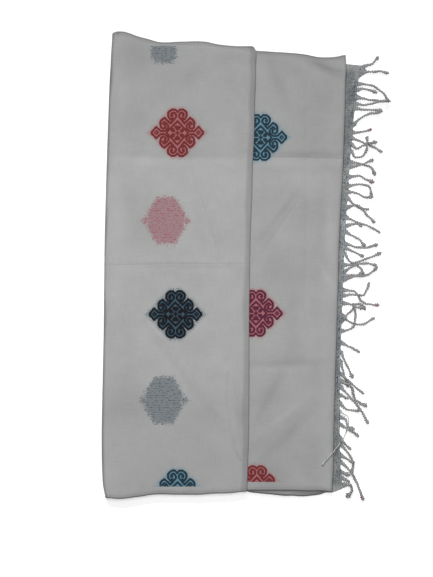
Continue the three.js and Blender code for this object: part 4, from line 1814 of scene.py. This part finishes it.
@dataclass
class Fringe:
    """The knotted fringe: warp ends gathered along the hem and twisted into two-ply strands.

    A knot has its swelling, its distance from the tip and its breadth. A gusset has the root of
    its strand, its reach and its breadth.
    """

    step: float = 6.5
    clearance: float = 0.5
    apart: float = 2.4
    slope: float = 0.5
    ground_slope: float = 8
    root_depth: float = 0.6
    border_height: float = 1.5
    panel_height: float = 8.8
    ring_step: float = 0.9
    sides: int = 10
    twist_pitch: float = 8.0
    plumpness: float = 0.74
    knot: tuple[float, float, float] = (0.9, 6.0, 3.6)
    root_height: float = 0.9
    lowest: float = 0.12
    header: float = 3.0
    header_height: float = 1.05
    header_rows: int = 1100
    header_columns: int = 7
    thickness: float = 0.5
    gussets: tuple[tuple[float, float, float], ...] = ((396, 10, 8), (345, 11, 5), (406, 6, 5))
    seed: int = 61
    laid: list[np.ndarray] = field(default_factory=list)

    @staticmethod
    def curve_through(places: np.ndarray) -> np.ndarray:
        """A dense smooth line through four places: centripetal Catmull-Rom, 70 steps a span.

        Args:
            places: Four places.

        Returns:
            Its points.
        """
        before = 2 * places[0] - places[1]
        after = 2 * places[-1] - places[-2]
        padded = np.vstack([before, places, after])
        t = np.linspace(0, 1, 71)[:, None]
        spans = []
        for p0, p1, p2, p3 in zip(padded, padded[1:], padded[2:], padded[3:]):
            d0, d1, d2 = (np.sqrt(np.linalg.norm(b - a)) for a, b in ((p0, p1), (p1, p2), (p2, p3)))
            leaving = d1 * ((p1 - p0) / d0 - (p2 - p0) / (d0 + d1) + (p2 - p1) / d1)
            arriving = d1 * ((p2 - p1) / d1 - (p3 - p1) / (d1 + d2) + (p3 - p2) / d2)
            bend = 2 * p1 - 2 * p2 + leaving + arriving
            sweep = -3 * p1 + 3 * p2 - 2 * leaving - arriving
            spans.append(p1 + t * (leaving + t * (sweep + t * bend)))
        return np.vstack([spans[0], spans[1][1:], spans[2][1:]])

    @staticmethod
    def spaced(line: np.ndarray, count: int) -> tuple[np.ndarray, np.ndarray]:
        """Count + 1 points in equal steps along a line, and their distances along it."""
        along = np.concatenate([[0], np.cumsum(np.linalg.norm(np.diff(line, axis=0), axis=1))])
        places = np.linspace(0, along[-1], count + 1)
        return np.stack([np.interp(places, along, axis) for axis in line.T], axis=1), places

    def ground(self, x: float, y: float) -> float:
        """Height of what lies under a strand: the floor, the border or the middle panel."""
        border = self.border_height * np.clip(1 - (x - hem_line(y)) / self.ground_slope, 0, 1)
        panel = self.panel_height * np.clip(1 - (x - middle_fold(y)) / self.ground_slope, 0, 1)
        return float(max(border, panel))

    def height_over(self, place: np.ndarray, other: np.ndarray, apart: float) -> float:
        """How high a strand's centre must be to clear another strand: over each stretch, its
        height there plus the root of apart squared less the distance squared.

        Args:
            place: A place of the strand.
            other: The other strand's route.
            apart: How far apart the two centres must be.

        Returns:
            The lowest height, or 0 where the other strand is far.
        """
        start, end = other[:-1], other[1:]
        run = end[:, :2] - start[:, :2]
        past = place[:2] - start[:, :2]
        share = np.clip((past * run).sum(axis=1) / (run**2).sum(axis=1), 0, 1)
        distance = np.linalg.norm(past - share[:, None] * run, axis=1)
        lift = np.sqrt(np.clip(apart**2 - distance**2, 0, None))
        above = np.where(distance < apart, lerp(start[:, 2], end[:, 2], share) + lift, 0)
        return float(above.max())

    def lay(self, strand: dict[str, float]) -> tuple[np.ndarray, np.ndarray]:
        """Lays one strand over those that lie there already.

        Args:
            strand: A row of the strands' table.

        Returns:
            Its centre line in fine steps, and the distance along it.
        """
        root = np.array([hem_line(strand["root"]) - self.root_depth, strand["root"], 0.0])
        offsets = [[0, 0, 0]] + [[strand[f"x{i}"], strand[f"y{i}"], 0] for i in (1, 2, 3)]
        line = self.curve_through(root + np.array(offsets, dtype=float))
        length = np.linalg.norm(np.diff(line, axis=0), axis=1).sum()
        route, along = self.spaced(line, max(3, round(length / self.step)))
        foot = self.clearance + strand["width"] / 2
        route[0, 2] = foot
        for place in route[1:]:
            place[2] = foot + self.ground(place[0], place[1])
            for other in self.laid:
                over = self.height_over(place, other, strand["width"] + self.apart)
                place[2] = max(place[2], over)
        drop = self.slope * self.step
        for i in range(2, len(route)):
            route[i, 2] = max(route[i, 2], route[i - 1, 2] - drop)
        for i in range(len(route) - 2, 0, -1):
            route[i, 2] = max(route[i, 2], route[i + 1, 2] - drop)
        self.laid.append(route)
        fine, places = self.spaced(line, max(12, round(length / self.ring_step)))
        fine[:, 2] = np.interp(places, along, route[:, 2])
        padded = np.pad(fine[:, 2], 2, mode="edge")
        fine[:, 2] = np.convolve(padded, np.ones(5) / 5, mode="valid")
        return fine, places

    def strand_radius(
        self, strand: dict[str, float], places: np.ndarray, draw: np.random.Generator
    ) -> np.ndarray:
        """A strand's radius along it: its own times two uneven waves, with a knot or a swelling
        near the tip that fades as e^-(distance / breadth)^2.

        Args:
            strand: A row of the strands' table.
            places: Distances from the root.
            draw: The source of its unevenness.

        Returns:
            The radius at each place.
        """
        to_tip = places[-1] - places
        radius = self.plumpness * strand["width"] * (1 + 0.12 * np.sin(places / draw.uniform(3, 6)))
        radius *= 1 + 0.14 * np.sin(places / draw.uniform(0.6, 0.8) + draw.uniform(0, 6))
        radius *= 1 - 0.25 * np.exp(-to_tip / 2.0)
        swell, centre, breadth = self.knot if strand["knot"] else (draw.uniform(0.25, 0.75), 5.0, 4.2)
        radius *= 1 + swell * np.exp(-(((to_tip - centre) / breadth) ** 2))
        radius *= np.clip(to_tip, 0.4, 1)
        return radius * 0.5 if strand["pale"] else radius

    def strand_rings(
        self, strand: dict[str, float], draw: np.random.Generator
    ) -> tuple[np.ndarray, np.ndarray]:
        """Rings of one strand: two lobes that turn along it, spread at the root, swollen at a
        knot and frayed at the tip.

        Args:
            strand: A row of the strands' table.
            draw: The source of its unevenness.

        Returns:
            Rings of points, and how much painted shade each takes: in the twist's grooves, along its sides,
            and half at the spread root.
        """
        centre, places = self.lay(strand)
        wobble = np.sin(places / draw.uniform(2.2, 4.0) + draw.uniform(0, 6)) * draw.uniform(0.2, 0.5)
        wobble += np.sin(places / draw.uniform(0.8, 1.1) + draw.uniform(0, 6)) * 0.45
        along = unit(np.gradient(centre, axis=0))
        side = unit(np.cross([0, 0, 1], along))
        spread = np.exp(-((places / draw.uniform(4, 7.5)) ** 2))[:, None]
        side = unit(side * (1 - spread) + np.array([0, 1, 0]) * spread)
        above = unit(np.cross(along, side))
        centre = centre + side * (wobble * (1 - spread[:, 0]))[:, None]
        radius = self.strand_radius(strand, places, draw)
        wide = radius * (1 + 1.3 * spread[:, 0])
        tall = radius * (1 - 0.66 * spread[:, 0])
        angle = np.linspace(0, 2 * np.pi, self.sides, endpoint=False)
        lobe = np.cos(2 * (angle - (2 * np.pi / self.twist_pitch) * places[:, None]))
        shape = 0.8 + 0.3 * lobe * (1 - spread)
        sideways = (wide[:, None] * np.cos(angle) * shape)[..., None] * side[:, None, :]
        upwards = (tall[:, None] * np.sin(angle) * shape)[..., None] * above[:, None, :]
        centre[:, 2] = lerp(self.root_height, centre[:, 2], smooth_step(0, 8, places))
        rings = centre[:, None, :] + sideways + upwards
        rings[..., 2] = np.maximum(rings[..., 2], self.lowest)
        # Painted shade on the sides, where the round yarn turns away.
        side_shade = np.abs(np.cos(angle)) ** 3
        return rings, lerp(0.6 * (0.5 - 0.5 * lobe) + 0.7 * side_shade, 0.5, spread)

    def build_strands(self) -> bpy.types.Object:
        """Builds all strands as one piece with closed ends.

        Returns:
            The piece.
        """
        draw = np.random.default_rng(self.seed)
        points, faces, groove, red, pale = [], [], [], [], []
        count = 0
        for strand in STRANDS.rows():
            rings, painted_shade_share = self.strand_rings(strand, draw)
            size = rings.shape[0] * self.sides
            ends = np.stack([rings[0].mean(axis=0), rings[-1].mean(axis=0)])
            points.append(np.vstack([rings.reshape(-1, 3), ends]))
            quads = grid_faces(rings.shape[0], self.sides, closed=True).tolist()
            beside = [(i, (i + 1) % self.sides) for i in range(self.sides)]
            last = size - self.sides
            caps = [(size, b, a) for a, b in beside] + [(size + 1, last + a, last + b) for a, b in beside]
            faces += [[count + v for v in face] for face in quads + caps]
            # Both end caps take the full painted shade.
            groove.append(np.append(painted_shade_share.ravel(), [1, 1]))
            share = np.linspace(0, 1, rings.shape[0])
            tint = smooth_step(0.72, 0.9, share) * strand["red"] + smooth_step(0.1, 0.4, share) - 1
            red.append(np.append(np.repeat(tint, self.sides), [-1, tint[-1]]))
            pale.append(np.full(size + 2, strand["pale"]))
            count += size + 2
        piece = piece_from("fringe_strands", np.vstack(points), faces)
        for name, parts in (("groove", groove), ("red", red), ("pale", pale)):
            lay_attribute(piece, name, np.concatenate(parts))
        return piece

    def build_header(self) -> bpy.types.Object:
        """The narrow strip where the warp ends gather: its edge swells out at each strand and
        draws in between.

        Returns:
            The piece.
        """
        draw = np.random.default_rng(self.seed + 1)
        roots = STRANDS["root"]
        reach = draw.uniform(3.5, 7.5, len(roots))
        breadth = draw.uniform(3.2, 4.8, len(roots))
        for root, far, broad in self.gussets:
            reach[roots == root], breadth[roots == root] = far, broad
        front, back = border_ends(np.ones(self.header_columns))
        y = lerp(front, back, np.linspace(0, 1, self.header_rows)[:, None])
        near = np.exp(-(((y[..., None] - roots) / breadth) ** 2))
        swell = (reach * near).max(axis=-1) - 1.5
        share = np.linspace(0, 1, self.header_columns)
        x = hem_line(y) - self.header + share * (self.header + swell)
        z = self.header_height + 0.35 * near.max(axis=-1) * share + 0.15 * ripples(x * 2, y, 14, 71)
        return border_strip("hem_gathers", x, y, z, self.thickness)

    def dress(self, strands: bpy.types.Object, header: bpy.types.Object) -> None:
        """Gives the fringe its finishes and its place in the frame."""
        strands.data.materials.append(FringeYarn().material("fringe_yarn"))
        settle(strands, "fringe")
        header.data.materials.append(BorderCotton().material("border_gathers"))
        settle(header, "fringe")


@dataclass(frozen=True)
class Lamp:
    """A round soft lamp that faces the cloth."""

    name: str
    place: tuple[float, float, float]
    size: float
    power: float

    def hang(self) -> None:
        """Hangs the lamp, turned to the middle of the cloth."""
        light = bpy.data.lights.new(self.name, "AREA")
        light.shape = "DISK"
        light.size = self.size
        light.energy = self.power
        lamp = add_object(self.name, light)
        lamp.location = self.place
        x, y, z = self.place
        lamp.rotation_euler = (0, np.arctan2(np.hypot(x, y), z), np.arctan2(y, x))


@dataclass
class Studio:
    """A plain pale floor, soft light from above, and the camera straight overhead."""

    camera_place: tuple[float, float, float] = (-0.012, -0.037, 2.6)
    frame_height: float = 1.154
    sensor: float = 36.0
    floor_half: float = 6000
    floor_drop: float = 0.4
    floor_shade: float = 0.95
    floor_glow: float = 0.35
    sky_high: float = 0.3
    sky_low: float = 0.06
    lamps: tuple[Lamp, ...] = (
        Lamp("overhead", (0.0, 0.0, 1.35), 0.9, 9.9),
        Lamp("back_key", (-1.5, 9.0, 6.5), 2.2, 742.0),
    )

    def build_floor(self) -> bpy.types.Object:
        """The floor, just below the cloth.

        Returns:
            The floor.
        """
        corners = self.floor_half * np.array([[-1, -1], [1, -1], [1, 1], [-1, 1]])
        points = np.concatenate([corners, np.full((4, 1), -self.floor_drop)], axis=1)
        floor = piece_from("floor", points, [[0, 1, 2, 3]])
        board = Board("floor_paint")
        speckle = board.cloud(board.place(), 40.0, 2.0)
        value = self.floor_shade + 0.01 * (speckle - 0.5)
        colour = board.vector(value, value, value)
        normal = board.bump(speckle * 0.0001, 0.2)
        finish = board.finish(colour, 0.9 + 0.05 * speckle, normal, sheen=0.0)
        board.shader.inputs["Emission Color"].default_value = (1, 1, 1, 1)
        board.shader.inputs["Emission Strength"].default_value = self.floor_glow
        floor.data.materials.append(finish)
        return floor

    def build_lights(self) -> None:
        """Soft lamps and a sky that is brightest overhead and dims evenly to the horizon."""
        world = bpy.data.worlds.new("sky")
        world.use_nodes = True
        tree = world.node_tree
        background = next(n for n in tree.nodes if n.type == "BACKGROUND")
        place = tree.nodes.new("ShaderNodeTexCoord")
        parts = tree.nodes.new("ShaderNodeSeparateXYZ")
        rise = tree.nodes.new("ShaderNodeMapRange")
        rise.inputs["To Min"].default_value = self.sky_low
        rise.inputs["To Max"].default_value = self.sky_high
        tree.links.new(place.outputs["Generated"], parts.inputs[0])
        tree.links.new(parts.outputs["Z"], rise.inputs["Value"])
        tree.links.new(rise.outputs["Result"], background.inputs["Strength"])
        background.inputs["Color"].default_value = (1, 1, 1, 1)
        bpy.context.scene.world = world
        for lamp in self.lamps:
            lamp.hang()

    def build_camera(self) -> None:
        """The camera, looking straight down with +Y up; its lens gives the frame's height."""
        data = bpy.data.cameras.new("camera")
        data.sensor_width = self.sensor
        data.lens = self.sensor * self.camera_place[2] / self.frame_height
        camera = add_object("camera", data)
        camera.location = self.camera_place
        bpy.context.scene.camera = camera


def main() -> None:
    """Builds the studio and the dupatta, piece by piece."""
    logging.basicConfig(level=logging.INFO, format="%(message)s")
    bpy.context.scene.view_settings.view_transform = "Standard"
    studio = Studio()
    studio.build_camera()
    studio.build_floor()
    studio.build_lights()

    layers = HiddenLayers()
    hidden = layers.build()
    middle, top = MiddlePanel(), TopPanel()
    middle_piece, top_piece = middle.build(), top.build()
    fringe, border = Fringe(), EndBorder()
    strands, header, border_piece = fringe.build_strands(), fringe.build_header(), border.build()

    layers.dress(hidden)
    middle.dress(middle_piece)
    top.dress(top_piece)
    fringe.dress(strands, header)
    border.dress(border_piece, [strands, header])
    for piece in (*hidden, middle_piece, top_piece, border_piece, header, strands):
        log.info("%s: %d faces", piece.name, len(piece.data.polygons))


if __name__ == "__main__":
    main()
